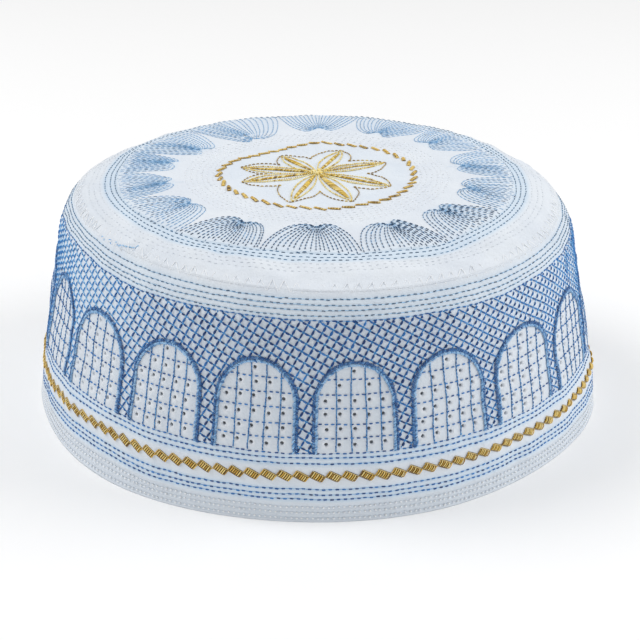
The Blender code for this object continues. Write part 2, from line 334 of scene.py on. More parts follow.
# Folds in the soft edge: direction, distance from the middle, slant, half length, half width, height
crownFolds = (
    (-161.0, 78.2, 2.0, 11.0, 0.8, 0.60),
    (-179.0, 78.3, -3.0, 9.0, 0.8, 0.40),
    (-152.0, 76.6, 8.0, 6.0, 1.0, -0.35),
    (-138.8, 79.4, 80.0, 2.6, 1.3, 0.95),
    (-136.4, 79.2, 72.0, 2.8, 0.9, -0.85),
    (-134.0, 79.0, 66.0, 3.0, 1.2, 0.80),
    (-131.8, 78.8, 74.0, 2.8, 0.9, -0.65),
    (-129.6, 78.6, 84.0, 2.6, 1.2, 0.45),
    (-143.0, 80.0, 20.0, 3.0, 0.8, 0.45),
    (-20.0, 78.0, 4.0, 9.0, 1.2, 0.30),
    (35.0, 77.5, -5.0, 10.0, 1.2, 0.35),
)


def shellRib(shell, q, s):
    # one curved rib of a shell: q from -1 to 1 across it, s from its tip to its base
    begins, ends, notch, lobes = shell[:4]
    half = (notch - begins if q < 0 else ends - notch) / 12.86
    turns = (0.8 * q * half, 6.5 * q * half, 12.6 * q * half * (0.9 + 0.1 * abs(q)), 12.45 * q * half)
    far = (lobes + 2.3, lobes + 7.0 - 10.8 * abs(q) ** 1.6,
           37.0 + 0.5 * lobes - 8.5 * abs(q) ** 1.8, crownStitching["shellBase"])
    weights = ((1 - s) ** 3, 3 * s * (1 - s) ** 2, 3 * s * s * (1 - s), s ** 3)
    return sum(w * t for w, t in zip(weights, turns)), sum(w * f for w, f in zip(weights, far))


def inShell(u, r):
    # 0 in the middle of a shell, 1 at its outline
    turned = (u - shells[0][0]) % 360.0 + shells[0][0]
    inside = np.full(np.shape(turned), 9.0)
    for shell in shells:
        for sign in (-1, 1):
            off = (turned - shell[2]) * sign
            limit = (shell[1] - shell[2]) if sign > 0 else (shell[2] - shell[0])
            mine = (off >= 0) & (off <= limit)
            turn, distance = shellRib(shell, sign, np.linspace(0.24, 1.0, 40))
            half = np.interp(r[mine], distance, np.abs(turn), left=0.05)
            inside[mine] = off[mine] / half
    return inside


def crownStrayed(u, r):
    # the rows run in and out a little, and lie closer together at the sides
    near = ramp(r, 46.0, 66.0) * ramp(r, 80.0, 72.0)
    sides = 1.0 - backShare(-np.radians(u))
    return r + lookUp(crownStray, wrapped(u)) * near - 0.33 * sides * (r - 69.0) * bump(r, 69.0, 3.0)


crownRelief = {
    "blueRows": (0.24, 0.5),     # depth and width of the furrow along a row
    "greyRows": (0.16, 0.6),
    "quiltRows": (0.14, 0.5),
    "swell": softWaves(11, 14, 60.0, 12.0, 0.30),
    "edgeSwell": softWaves(23, 14, 30.0, 7.0, 0.42),
    "shellPuff": 0.40,
    "pleats": 0.14,
}


def reliefOnCrown(u, r):
    u, r = together(u, r)
    calm = ramp(r, 0.0, 12.0) * ramp(r, 83.0, 79.0)
    total = crownRelief["swell"](u, r) * calm + crownRelief["edgeSwell"](u, r) * ramp(r, 70.0, 74.0) * calm
    for rows in ("blueRows", "greyRows", "quiltRows"):
        depth, width = crownRelief[rows]
        for row in crownStitching[rows]:
            total = total - depth * bump(r, row, width)
    band = (r > 45.0) & (r < crownStitching["shellBase"])
    total = total + crownRelief["shellPuff"] * np.clip(1.0 - inShell(u, r) ** 2, 0.0, 1.0) * band
    pleats = np.sin(np.radians(u) * 2 * zigzag["count"] + 1.3 * np.sin(np.radians(u) * 17))
    total = total + crownRelief["pleats"] * pleats * ramp(r, 77.5, 79.5) * ramp(r, 82.6, 81.6)
    for direction, distance, slant, length, width, height in crownFolds:
        off, away = np.radians(wrapped(u - direction)) * r, r - distance
        c, s = math.cos(math.radians(slant)), math.sin(math.radians(slant))
        along, across = off * c + away * s, away * c - off * s
        total = total + height * np.exp(-(along / length) ** 2 - (across / width) ** 2)
    return total


def onCrown(u, r, lift=0.0):
    u, r = together(u, r)
    out = crownStrayed(u, r)
    return raised(crownBase, out, np.radians(u), 0.4 / np.maximum(out, 2.0), -1, reliefOnCrown(u, r) + lift)


def crownPoint(x, y, lift):
    return onCrown(np.degrees(np.arctan2(y, x)), np.hypot(x, y), lift)


print("Shapes of wall and crown ready")


# Materials

def newMaterial(name, roughness, sheen, tint):
    material = bpy.data.materials.new(name)
    material.use_nodes = True
    shader = material.node_tree.nodes["Principled BSDF"]
    for socket, value in (("Roughness", roughness), ("Metallic", 0.0), ("Sheen Weight", sheen),
                          ("Sheen Roughness", 0.5), ("Sheen Tint", (*tint, 1.0))):
        shader.inputs[socket].default_value = value
    return material, material.node_tree, shader


def addNode(tree, kind, feeds=(), **settings):
    # feeds: input sockets, each with its value or with the output that it is linked to
    node = tree.nodes.new("ShaderNode" + kind)
    for key, value in settings.items():
        setattr(node, key, value)
    for socket, value in dict(feeds).items():
        if isinstance(value, bpy.types.NodeSocket):
            tree.links.new(value, node.inputs[socket])
        else:
            node.inputs[socket].default_value = value
    return node


def addRamp(tree, factor, shades):
    ramps = addNode(tree, "ValToRGB", {"Fac": factor})
    elements = ramps.color_ramp.elements
    for element, (share, colour) in zip(elements, (shades[0], shades[-1])):
        element.position = share
        element.color = (*colour, 1.0)
    for share, colour in shades[1:-1]:
        elements.new(share).color = (*colour, 1.0)
    return ramps.outputs["Color"]


def addTurned(tree, vector, degrees):
    turn = addNode(tree, "Mapping", {"Vector": vector, "Rotation": (0.0, 0.0, math.radians(degrees))})
    return turn.outputs["Vector"]


threadFinish = {
    "fibres": 900.0,         # size of the mottling
    "uneven": 0.3,           # how much it lightens the thread
    "twist": 0.6,
    "slant": 35,
    "relief": 0.35,
    "depth": 0.00008,
}


def threadMaterial(name, shades, roughness, sheen):
    # shades: share, colour, from the darkest stitch to the lightest
    material, tree, shader = newMaterial(name, roughness, sheen, shades[-1][1])
    tone = addNode(tree, "Attribute", attribute_name="tone")
    place = addNode(tree, "TexCoord")
    fibre = addNode(tree, "TexNoise", {
        "Vector": place.outputs["Object"], "Scale": threadFinish["fibres"], "Detail": 2.0})
    uneven = addNode(tree, "Math", {
        0: fibre.outputs["Fac"], 1: threadFinish["uneven"], 2: tone.outputs["Fac"]}, operation="MULTIPLY_ADD")
    tree.links.new(addRamp(tree, uneven.outputs["Value"], shades), shader.inputs["Base Color"])
    strands = addNode(tree, "TexWave", {
        "Vector": addTurned(tree, place.outputs["UV"], threadFinish["slant"]),
        "Scale": threadFinish["twist"], "Distortion": 0.6})
    relief = addNode(tree, "Bump", {
        "Height": strands.outputs["Fac"], "Strength": threadFinish["relief"],
        "Distance": threadFinish["depth"]})
    tree.links.new(relief.outputs["Normal"], shader.inputs["Normal"])
    return material


def clothMaterial(name, look):
    material, tree, shader = newMaterial(name, look["roughness"], look["sheen"], look["plain"])
    place = addNode(tree, "TexCoord")
    mottle = addNode(tree, "TexNoise", {"Vector": place.outputs["Object"], "Scale": 70.0, "Detail": 4.0})
    colour = addRamp(tree, mottle.outputs["Fac"], ((0.35, look["shaded"]), (0.6, look["plain"])))
    for attribute, stain in (("dyeAndShade", look["dyed"]), ("window", look["window"])):
        amount = addNode(tree, "Attribute", attribute_name=attribute)
        mix = addNode(tree, "Mix", data_type="RGBA")
        factor, under, over = (socket for socket in mix.inputs if socket.enabled)
        tree.links.new(amount.outputs["Fac"], factor)
        tree.links.new(colour, under)
        over.default_value = (*stain, 1.0)
        colour = next(socket for socket in mix.outputs if socket.enabled)
    tree.links.new(colour, shader.inputs["Base Color"])
    # plain weave: two sets of threads at right angles, and the nap over them
    yarns = []
    for degrees in (0.0, 90.0):
        yarn = addNode(tree, "TexWave", {
            "Vector": addTurned(tree, place.outputs["UV"], degrees), "Scale": look["yarn"],
            "Distortion": 1.2, "Detail": 1.0, "Detail Scale": 0.6})
        yarns.append(yarn.outputs["Fac"])
    both = addNode(tree, "Math", {0: yarns[0], 1: yarns[1]}, operation="MULTIPLY")
    nap = addNode(tree, "TexNoise", {"Vector": place.outputs["Object"], "Scale": 650.0, "Detail": 3.0})
    weave = addNode(tree, "Bump", {
        "Height": both.outputs["Value"], "Strength": look["weave"], "Distance": 0.00012})
    fluff = addNode(tree, "Bump", {
        "Height": nap.outputs["Fac"], "Strength": look["nap"], "Distance": 0.0006,
        "Normal": weave.outputs["Normal"]})
    tree.links.new(fluff.outputs["Normal"], shader.inputs["Normal"])
    return material


clothLook = {
    "plain": (0.80, 0.84, 0.89),
    "shaded": (0.75, 0.795, 0.86),
    "dyed": (0.33, 0.63, 0.91),
    "window": (0.705, 0.765, 0.835),
    "roughness": 0.9,
    "sheen": 0.15,
    "weave": 0.35,
    "nap": 0.5,
    "yarn": 0.7,
}

threadLooks = {
    "navyThread": ((0.0, (0.001, 0.019, 0.095)), (0.5, (0.004, 0.068, 0.27)), (1.0, (0.034, 0.22, 0.58))),
    "blueThread": ((0.0, (0.012, 0.08, 0.27)), (0.5, (0.042, 0.19, 0.47)), (1.0, (0.15, 0.39, 0.69))),
    "skyThread": ((0.0, (0.025, 0.20, 0.54)), (0.5, (0.08, 0.35, 0.74)), (1.0, (0.28, 0.62, 0.95))),
    "paleThread": ((0.0, (0.24, 0.46, 0.76)), (0.5, (0.38, 0.62, 0.87)), (1.0, (0.56, 0.75, 0.93))),
    "slateThread": ((0.0, (0.012, 0.038, 0.09)), (0.5, (0.03, 0.09, 0.18)), (1.0, (0.10, 0.23, 0.39))),
    "whiteThread": ((0.0, (0.82, 0.86, 0.91)), (0.5, (0.90, 0.93, 0.97)), (1.0, (0.96, 0.98, 1.0))),
    "shellThread": ((0.0, (0.002, 0.010, 0.035)), (0.5, (0.02, 0.07, 0.17)), (1.0, (0.20, 0.43, 0.70))),
    "greyThread": ((0.0, (0.50, 0.55, 0.62)), (0.5, (0.64, 0.69, 0.75)), (1.0, (0.80, 0.84, 0.88))),
    "goldThread": ((0.0, (0.03, 0.012, 0.002)), (0.35, (0.22, 0.11, 0.008)), (0.7, (0.74, 0.44, 0.045)),
                   (1.0, (0.96, 0.76, 0.28))),
    "strawThread": ((0.0, (0.10, 0.045, 0.004)), (0.4, (0.52, 0.31, 0.025)), (0.7, (0.88, 0.62, 0.08)),
                    (1.0, (0.98, 0.88, 0.48))),
    "cordThread": ((0.0, (0.006, 0.035, 0.15)), (0.35, (0.028, 0.13, 0.38)), (0.7, (0.12, 0.32, 0.63)),
                   (1.0, (0.40, 0.64, 0.90))),
}
plainGloss = (0.6, 0.3)      # roughness and sheen
satinGloss = {"goldThread": (0.38, 0.1), "strawThread": (0.38, 0.1), "cordThread": (0.5, 0.35)}

cloth = clothMaterial("quiltedCotton", clothLook)
threads = {}
for name, shades in threadLooks.items():
    threads[name] = threadMaterial(name, shades, *satinGloss.get(name, plainGloss))
print("Materials ready")


# Pieces are gathered as point and face arrays, then made into one mesh each

def makePiece(name, bundle, material, nodes=()):
    offset = 0
    quads, tris = [], []
    for part in bundle:
        quads.append(part["quads"].reshape(-1, 4) + offset)
        tris.append(part["tris"].reshape(-1, 3) + offset)
        offset += len(part["points"])
    joined = {key: np.concatenate([part[key] for part in bundle]) for key in bundle[0]
              if key not in ("quads", "tris")}
    quads, tris = np.concatenate(quads), np.concatenate(tris)
    corners = np.concatenate((quads.ravel(), tris.ravel())).astype(np.int32)
    starts = np.concatenate((np.arange(len(quads)) * 4, len(quads) * 4 + np.arange(len(tris)) * 3))
    mesh = bpy.data.meshes.new(name)
    mesh.vertices.add(offset)
    mesh.vertices.foreach_set("co", joined["points"].astype(np.float32).ravel())
    mesh.loops.add(len(corners))
    mesh.loops.foreach_set("vertex_index", corners)
    mesh.polygons.add(len(starts))
    mesh.polygons.foreach_set("loop_start", starts.astype(np.int32))
    layer = mesh.uv_layers.new(name="stitchUV")
    layer.data.foreach_set("uv", joined["uv"][corners].astype(np.float32).ravel())
    for key in ("tone", "dyeAndShade", "window"):
        if key in joined:
            data = mesh.attributes.new(key, "FLOAT", "POINT").data
            data.foreach_set("value", joined[key].astype(np.float32))
    mesh.update(calc_edges=True)
    mesh.validate()
    mesh.shade_smooth()
    mesh.materials.append(material)
    piece = bpy.data.objects.new(name, mesh)
    bpy.context.scene.collection.objects.link(piece)
    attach(piece, "root")
    if nodes:
        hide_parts(*nodes)
    return piece


def addCopies(bundle, rows, uvs, quads, tris, tone):
    # many small shapes with the same faces; each row holds one corner of all of them
    count = len(rows[0])
    offsets = np.arange(count)[:, None, None] * len(rows)
    bundle.append({
        "points": np.stack(rows, axis=1).reshape(-1, 3),
        "uv": np.stack(uvs, axis=1).reshape(-1, 2),
        "quads": (np.array(quads) + offsets).reshape(-1, 4),
        "tris": (np.array(tris) + offsets).reshape(-1, 3),
        "tone": np.repeat(np.broadcast_to(np.asarray(tone, dtype=float), (count,)), len(rows)),
    })


stitchShape = {
    "dive": 0.15,            # how deep both ends go into the cloth
    "slim": 0.66,            # width near the ends, as a share of the full width
    "flat": 0.85,
    "spots": {               # where the rings of a stitch lie along it
        2: (0.2, 0.8), 3: (0.14, 0.5, 0.86), 4: (0.03, 0.3, 0.7, 0.97), 5: (0.07, 0.26, 0.5, 0.74, 0.93),
    },
}


def addStitches(bundle, near, far, width, rise, tone, sides=4, rings=2, blunt=False):
    # one small tube for each stitch, from its near end to its far end, which tapers unless it is blunt
    (start, startUp), (finish, finishUp) = near, far
    count = len(start)
    width, rise = (np.broadcast_to(np.asarray(size, dtype=float), (count,)) * mm for size in (width, rise))
    line = finish - start
    length = np.linalg.norm(line, axis=1)
    ahead = line / length[:, None]
    rows = [start - startUp * stitchShape["dive"] * mm]
    uvs = [np.zeros((count, 2))]
    for spot in stitchShape["spots"][rings]:
        across = unit(np.cross(ahead, startUp * (1 - spot) + finishUp * spot))
        over = np.cross(across, ahead)
        arc = math.sin(math.pi * spot)
        centre = start + line * spot + over * (rise * arc ** 0.5)[:, None]
        full = 1.0 if blunt else stitchShape["slim"] + (1 - stitchShape["slim"]) * arc
        for k in range(sides):
            turn = 2 * math.pi * (k + 0.5) / sides - math.pi / 2
            reach = width * 0.5 * full
            rows.append(centre + across * (reach * math.cos(turn))[:, None]
                        + over * (reach * stitchShape["flat"] * math.sin(turn))[:, None])
            uvs.append(np.stack((length * spot / mm, width * math.pi * k / sides / mm), axis=1))
    rows.append(finish - finishUp * stitchShape["dive"] * mm)
    uvs.append(np.stack((length / mm, np.zeros(count)), axis=1))
    tip, last = len(rows) - 1, len(rows) - 1 - sides
    quads, tris = [], []
    for k in range(sides):
        j = (k + 1) % sides
        tris += [(0, 1 + k, 1 + j), (tip, last + j, last + k)]
        quads += [(a + k, a + sides + k, a + sides + j, a + j) for a in range(1, last, sides)]
    addCopies(bundle, rows, uvs, quads, tris, tone)


def addStrips(bundle, near, far, width, rise, tone):
    # the under-thread of a line: a low ridge, flatter and lighter than a stitch
    ahead = unit(far[0] - near[0])
    length = np.linalg.norm(far[0] - near[0], axis=1) / mm
    rows, uvs = [], []
    for share, (point, up) in ((0.0, near), (1.0, far)):
        across = unit(np.cross(ahead, up))
        for reach, lift in ((-0.5, -0.1), (0.0, 1.0), (0.5, -0.1)):
            rows.append(point + across * (width * reach * mm) + up * (rise * lift * mm))
            uvs.append(np.stack((length * share, np.full(len(length), width * (reach + 0.5))), axis=1))
    addCopies(bundle, rows, uvs, ((3, 4, 1, 0), (4, 5, 2, 1), (2, 5, 3, 0)), ((1, 2, 0), (5, 4, 3)), tone)


def tones(rng, base, spread, count, light=0.0):
    # how light each stitch is, from 0 to 1; light is painted light and shade added to every stitch
    return np.clip(rng.normal(base, spread, count) + light, 0.0, 1.0)


def runOf(stepsAcross, stepsUp):
    # how long a line is up to each of its points
    return np.concatenate(([0.0], np.cumsum(np.hypot(stepsAcross, stepsUp))))


def nextOf(ends):
    # the ends of the next stitch round the cap
    return [np.roll(part, -1, axis=0) for part in ends]


rowWander = {"waves": (2, 9), "reach": 0.06, "uneven": 0.05}


def alongRow(surface, row, radius, pitch, dash, seed, slip=0.08):
    # running stitches round the cap: both ends of every stitch, on the wall or the crown
    rng = np.random.default_rng(seed)
    count = int(round(2 * math.pi * radius / pitch))
    step = 360.0 / count
    at = (np.arange(count) + rng.normal(0.0, rowWander["uneven"], count)) * step
    numbers = rng.integers(*rowWander["waves"], 3)
    phases = rng.random(3) * 6.28
    drift = sum(rowWander["reach"] * np.sin(np.radians(at) * n + p) for n, p in zip(numbers, phases))
    near = surface(at, row + drift + rng.normal(0, slip, count))
    far = surface(at + step * (dash / pitch), row + drift + rng.normal(0, slip, count))
    return near, far, rng


# The wall's cloth: an outer and an inner face, eyelets cut right through, turned hem

wallCloth = {
    "sides": (-14.4, -13.2, -12.2, -11.2, -10.1, 10.1, 11.2, 12.2, 13.2, 14.4),
    "heights": (
        0.0, 0.5, 2.2, 4.1, 6.2, 6.9, 8.5, 10.2, 12.2, 13.4, 14.6, 15.8, 17.0, 18.2, 20.65, 22.4, 24.4, 25.6,
        26.6, 30.0, 31.1, 34.6, 35.8, 39.5, 40.6, 44.1, 45.3, 49.2, 50.4, 51.6, 52.8, 54.1, 55.4, 56.7, 58.0,
        59.3, 60.6, 61.9, 63.2, 64.5, 65.6, 72.6, 73.2, 74.0,
    ),
    "besideRows": 0.45,
    "besideGrid": 0.7,
    "besideLines": (-2.4, -0.8, 0.0, 0.8),
    "innerSides": (-12.6, -8.6, -6.2, -3.7, -1.2, 1.2, 3.7, 6.2, 8.6, 12.6),
    "innerHeights": (
        0.0, 3.0, 6.6, 7.4, 14.0, 20.0, 24.0, 28.5, 33.3, 38.1, 42.8, 47.6, 53.0, 60.0, 67.0, 71.0, 74.0,
    ),
    "edges": ((0.0, (0.7, 1.9), False), (74.0, (0.6, 1.2), True)),     # height, depths of its turns, if upper
    "hemTop": 7.0,
    "ring": 10,              # corners of an eyelet
    "lip": 0.95,             # radius of its raised lip
    "lipRise": 0.15,
    "sink": 0.22,            # how far the edge of the eyelet is pulled in
    "clear": 1.15,           # no other mesh point nearer to an eyelet than this
    "holeSlip": 0.22,        # how unevenly the eyelets are punched
    "dyed": {                # how blue the cloth looks near the coloured threads, and the painted shade along the hem rows
        "rows": 0.34,
        "upperRows": 0.18,
        "reach": 1.1,                   # how far it shows beside a row
        "band": (66.0, 73.0, 0.10),     # from this height to that one
        "plain": (5.5, 0.05),           # from this height up
        "lattice": 0.12,
        "inside": 0.03,
        "edges": 0.05,
        "hem": (6.2, 0.7),              # up to this height, as grey as this share of the window cloth
        "hemGrooveShade": (0.6, 0.15),           # width and darkness of the painted shade in the furrows of the hem rows, between the dots of thread
    },
}


def withRows(places, *rowSets):
    # the given mesh lines, with one more along every row of stitches and on both its sides
    lines = set(places)
    for rows, beside in rowSets:
        for row in rows:
            lines |= {row - beside, row, row + beside}
    return sorted(lines)


def archHoles(number):
    # middle points of the eyelets in one arched window
    rng = np.random.default_rng(200 + number)
    holes = []
    for i, height in enumerate(arches["holeRows"]):
        columns = arches["holeColumns"]
        if i == 0:
            columns = columns[2:3]
        if i == 1:
            columns = columns[1:4:2] if number in (0, 1) else columns[1:4]
        for side in columns:
            slip = rng.normal(0.0, wallCloth["holeSlip"], 2)
            across = side + 0.8 * gridSlips[number] + np.clip(slip[0], -0.4, 0.4)
            holes.append((across, height + np.clip(slip[1], -0.3, 0.3)))
    return holes


def piercedSheet(sides, heights, edgeSides, holes, radii):
    # flat triangle net over one arch, with a round gap at each hole
    points = []
    for height in heights:
        border = height in (heights[0], heights[-1])
        for side in (edgeSides if border else sides):
            near = min(math.hypot(side - x, height - y) for x, y in holes)
            if border or near > wallCloth["clear"]:
                points.append((side, height))
    rings, edges = [], []
    turns = [2 * math.pi * k / wallCloth["ring"] for k in range(wallCloth["ring"])]
    for x, y in holes:
        for radius in radii:
            ring = [len(points) + k for k in range(len(turns))]
            points += [(x + radius * math.cos(turn), y + radius * math.sin(turn)) for turn in turns]
            edges += [(ring[k - 1], ring[k]) for k in range(len(ring))]
            if radius == radii[0]:
                rings.append(ring)
    flat, _, faces, origins, _, _ = delaunay_2d_cdt(points, edges, [], 0, 1e-5, True)
    where = {source: i for i, sources in enumerate(origins) for source in sources}
    flat = np.array([(p[0], p[1]) for p in flat])
    faces = np.array(faces)
    centre = flat[faces].mean(axis=1)
    cut = np.zeros(len(faces), dtype=bool)
    for x, y in holes:
        cut |= np.hypot(centre[:, 0] - x, centre[:, 1] - y) < radii[0] * 0.93
    return flat, faces[~cut], [[where[i] for i in ring] for ring in rings]


def wallTints(u, v):
    # how blue the cloth is, with painted shade in the furrows of the hem rows, and how far it has the greyer
    # look of the windows
    dyed = wallCloth["dyed"]
    (low, high, band), (plainFrom, plain), (hemTop, grey) = dyed["band"], dyed["plain"], dyed["hem"]
    dyeAndShade = np.maximum(band * ((v > low) & (v < high)), plain * (v > plainFrom))
    for row in stitching["blueRows"]:
        dyeAndShade = np.maximum(dyeAndShade, dyed["upperRows" if row > low else "rows"] * bump(v, row, dyed["reach"]))
    edge = archOutline(fromArch(u)[1], v, 0.0)
    dyeAndShade = np.where((v > arches["foot"]) & (v < low) & (edge > 1.0), dyed["lattice"], dyeAndShade)
    window = np.where(v < hemTop, grey, ramp(edge, 1.0, 0.9) * (v > arches["foot"]))
    # painted shade: a darker blue-grey along the furrows of the hem rows
    width, grooveDarkness = dyed["hemGrooveShade"]
    grooveShade = sum(bump(v, row, width) for row in stitching["hemRows"])
    return np.maximum(dyeAndShade * (1 - window), grooveDarkness * grooveShade), window


def buildWall():
    heights = withRows(
        wallCloth["heights"], (stitching["blueRows"] + stitching["hemRows"], wallCloth["besideRows"]),
        (arches["gridHeights"], wallCloth["besideGrid"]))
    radius = arches["holeRadius"]
    bundle = []
    for number, centre in enumerate(archCentres):
        toDegrees = 180.0 / math.pi / archFeet[number]
        border = math.radians(180.0 / arches["count"]) * archFeet[number]
        lines = [s + gridSlips[number] + d for s in arches["gridSides"] for d in wallCloth["besideLines"]]
        sides = sorted((*wallCloth["sides"], *lines, -border, border))
        holes = archHoles(number)
        outer, outerFaces, outerRings = piercedSheet(sides, heights, sides, holes, (radius, wallCloth["lip"]))
        inner, innerFaces, innerRings = piercedSheet(
            (-border, *wallCloth["innerSides"], border), wallCloth["innerHeights"], sides, holes, (radius,))
        u, v = centre + outer[:, 0] * toDegrees, outer[:, 1]
        innerU, innerV = centre + inner[:, 0] * toDegrees, inner[:, 1]
        dyeAndShade, window = wallTints(u, v)
        lift = np.zeros(len(outer))
        for x, y in holes:
            away = np.hypot(outer[:, 0] - x, v - y)
            lift[away < radius * 1.1] = -wallCloth["sink"]
            lift[(away > radius * 1.1) & (away < 1.1)] = wallCloth["lipRise"]
            window[away < 1.25] = 0.0
        thick = np.where(innerV < wallCloth["hemTop"], wall["hemCloth"], wall["cloth"])
        sheets = [onWall(u, v, lift)[0], onWall(innerU, innerV, -thick)[0]]
        shift = len(outer)
        count = shift + len(inner)
        quads = []
        for a, b in zip(outerRings, innerRings):
            quads += [(a[k - 1], a[k], b[k] + shift, b[k - 1] + shift) for k in range(len(a))]
        # bottom and top of the two faces, joined by rounded strips
        for height, depths, flip in wallCloth["edges"]:
            rows = [[np.argmin(np.hypot(face[:, 0] - s, face[:, 1] - height)) + first for s in sides]
                    for face, first in ((outer, 0), (inner, shift))]
            for depth in depths:
                sheets.append(onWall(centre + np.array(sides) * toDegrees, height, -depth)[0])
                rows.insert(-1, range(count, count + len(sides)))
                count += len(sides)
            for low, high in zip(rows, rows[1:]):
                for k in range(len(sides) - 1):
                    quad = (low[k], high[k], high[k + 1], low[k + 1])
                    quads.append(quad[::-1] if flip else quad)
        points = np.concatenate(sheets)
        points[:, 2] = np.maximum(points[:, 2], 0.0)
        strips = count - shift - len(inner)
        bundle.append({
            "points": points,
            "uv": np.concatenate((
                np.stack((np.radians(u) * 90.0, v), axis=1),
                np.stack((np.radians(innerU) * 90.0, innerV), axis=1),
                np.zeros((strips, 2)))),
            "quads": np.array(quads),
            "tris": np.concatenate((outerFaces, innerFaces[:, ::-1] + shift)),
            "dyeAndShade": np.concatenate((
                dyeAndShade, np.full(len(inner), wallCloth["dyed"]["inside"]),
                np.full(strips, wallCloth["dyed"]["edges"]))),
            "window": np.concatenate((window, np.zeros(len(inner) + strips))),
        })
    return makePiece("wallCloth", bundle, cloth, ("side_wall",))


wallPiece = buildWall()
print("Wall cloth with eyelets:", len(wallPiece.data.polygons), "faces")


# The crown's cloth: rings of points from the middle, over the soft edge and back underneath

crownCloth = {
    "columns": 480,
    "rings": (2.0, 5.0, 9.0, 14.0, 19.0, 24.0, 29.0, 33.0, 45.4, 46.4, 47.6, 49.0, 51.0, 53.0, 55.0, 57.0,
              59.0, 61.0, 63.0, 64.8, 66.1),
    "besideRows": 0.45,
    "edgeSteps": 15,
    "lap": (                 # how the edge laps over the top of the wall: out, down
        (0.42, 0.12), (0.55, 0.42), (0.35, 0.55), (0.27, -0.06), (-0.9, -0.06), (-2.4, -0.10),
    ),
    "ledge": 4.2,
    "innerRings": (66.0, 56.0, 44.0, 30.0, 15.0),
    "dyed": {"rows": 0.3, "shells": 0.13, "middle": 0.07, "least": 0.02, "inside": 0.03, "ends": 0.1},
}


def crownTints(u, r):
    u, r = together(u, r)
    dyed = crownCloth["dyed"]
    dyeAndShade = np.maximum(dyed["least"], dyed["middle"] * (r < 32.0))
    for row in crownStitching["blueRows"]:
        dyeAndShade = np.maximum(dyeAndShade, dyed["rows"] * bump(r, row, 1.1))
    shell = np.clip((1.05 - inShell(u, r)) * 6.0, 0.0, 1.0)
    return np.maximum(dyeAndShade, dyed["shells"] * shell * ((r > 45.0) & (r < crownStitching["shellBase"] + 1.0)))


def buildCrown():
    rows = crownStitching["quiltRows"] + crownStitching["blueRows"]
    radii = [r for r in withRows(crownCloth["rings"], (rows, crownCloth["besideRows"])) if r < crown["rim"]]
    radii.append(crown["rim"])
    count = crownCloth["columns"]
    turns = np.arange(count) * 360.0 / count
    angle = np.radians(turns)
    edge = crownEdge(angle)
    rings, uvs, dyes = [], [], []

    def addRing(r, points, dyeAndShade=crownCloth["dyed"]["inside"]):
        rings.append(points)
        uvs.append(np.stack((r * np.cos(angle), r * np.sin(angle)), axis=1))
        dyes.append(np.broadcast_to(dyeAndShade, (count,)))

    for share in np.arange(1, crownCloth["edgeSteps"] + 1) / crownCloth["edgeSteps"]:
        radii.append(crown["rim"] + (edge - crown["rim"]) * share)
    for r in radii:
        addRing(r, onCrown(turns, r)[0], crownTints(turns, r))
    for out, down in crownCloth["lap"]:
        addRing(edge + out, placed(edge + out, angle, topHeight(angle) - down))
    for r in (edge - wall["cloth"] - crownCloth["ledge"], *crownCloth["innerRings"]):
        addRing(r, onCrown(turns, r, -crown["cloth"])[0])
    # the two middle points close the rings above and below
    ends = [onCrown([0.0], 0.01, lift)[0] for lift in (0.0, -crown["cloth"])]
    top = len(rings) * count
    last = top - count
    k = np.arange(count)
    j = (k + 1) % count
    quads = [np.stack((a + k, a + count + k, a + count + j, a + j), axis=1) for a in range(0, last, count)]
    bundle = [{
        "points": np.concatenate(rings + ends),
        "uv": np.concatenate(uvs + [np.zeros((2, 2))]),
        "quads": np.concatenate(quads),
        "tris": np.concatenate((
            np.stack((np.full(count, top), k, j), axis=1),
            np.stack((np.full(count, top + 1), last + j, last + k), axis=1))),
        "dyeAndShade": np.concatenate(dyes + [np.full(2, crownCloth["dyed"]["ends"])]),
        "window": np.zeros(top + 2),
    }]
    return makePiece("crownCloth", bundle, cloth, ("crown_panel",))


crownPiece = buildCrown()
print("Crown cloth:", len(crownPiece.data.polygons), "faces")


# Rows of running stitch round the wall

rowThreads = {
    "width": 0.60,
    "upperWidth": 0.44,
    "rise": 0.17,
    "underWidth": 0.42,
    "underRise": 0.10,
    "hemRadius": 95.0,
    "hemWidth": 0.70,
    "hemRise": 0.50,
    "hemPitch": 1.7,
    "hemDash": 0.85,
}

navy, slate, under, hem = [], [], [], []
for n, row in enumerate(stitching["blueRows"]):
    radius = float(lookUp(wall["profile"], row))
    near, far, rng = alongRow(onWall, row, radius, stitching["pitch"], stitching["dash"], 40 + n)
    count = len(near[0])
    upper = row > stitching["latticeTop"] + 0.5
    tone = tones(rng, 0.5, 0.22, count)
    width = rowThreads["upperWidth" if upper else "width"] * rng.uniform(0.85, 1.1, count)
    addStitches(slate if upper else navy, near, far, width, rowThreads["rise"], tone)
    addStrips(under, near, nextOf(near), rowThreads["underWidth"], rowThreads["underRise"],
              tones(rng, 0.5 if upper else 0.1, 0.2, count))
for n, row in enumerate(stitching["hemRows"]):
    near, far, rng = alongRow(
        onWall, row, rowThreads["hemRadius"], rowThreads["hemPitch"], rowThreads["hemDash"], 60 + n)
    addStitches(hem, near, far, rowThreads["hemWidth"], rowThreads["hemRise"],
                tones(rng, 0.6, 0.25, len(near[0])))
makePiece("rowUnderThread", under, threads["paleThread"])
makePiece("lowerBlueRows", navy, threads["navyThread"])
makePiece("upperBlueRows", slate, threads["slateThread"])
makePiece("hemQuilting", hem, threads["whiteThread"])
print("Rows of running stitch ready")


# The blue lattice over the arches: squares set askew, pale lines with a dark dash on every side

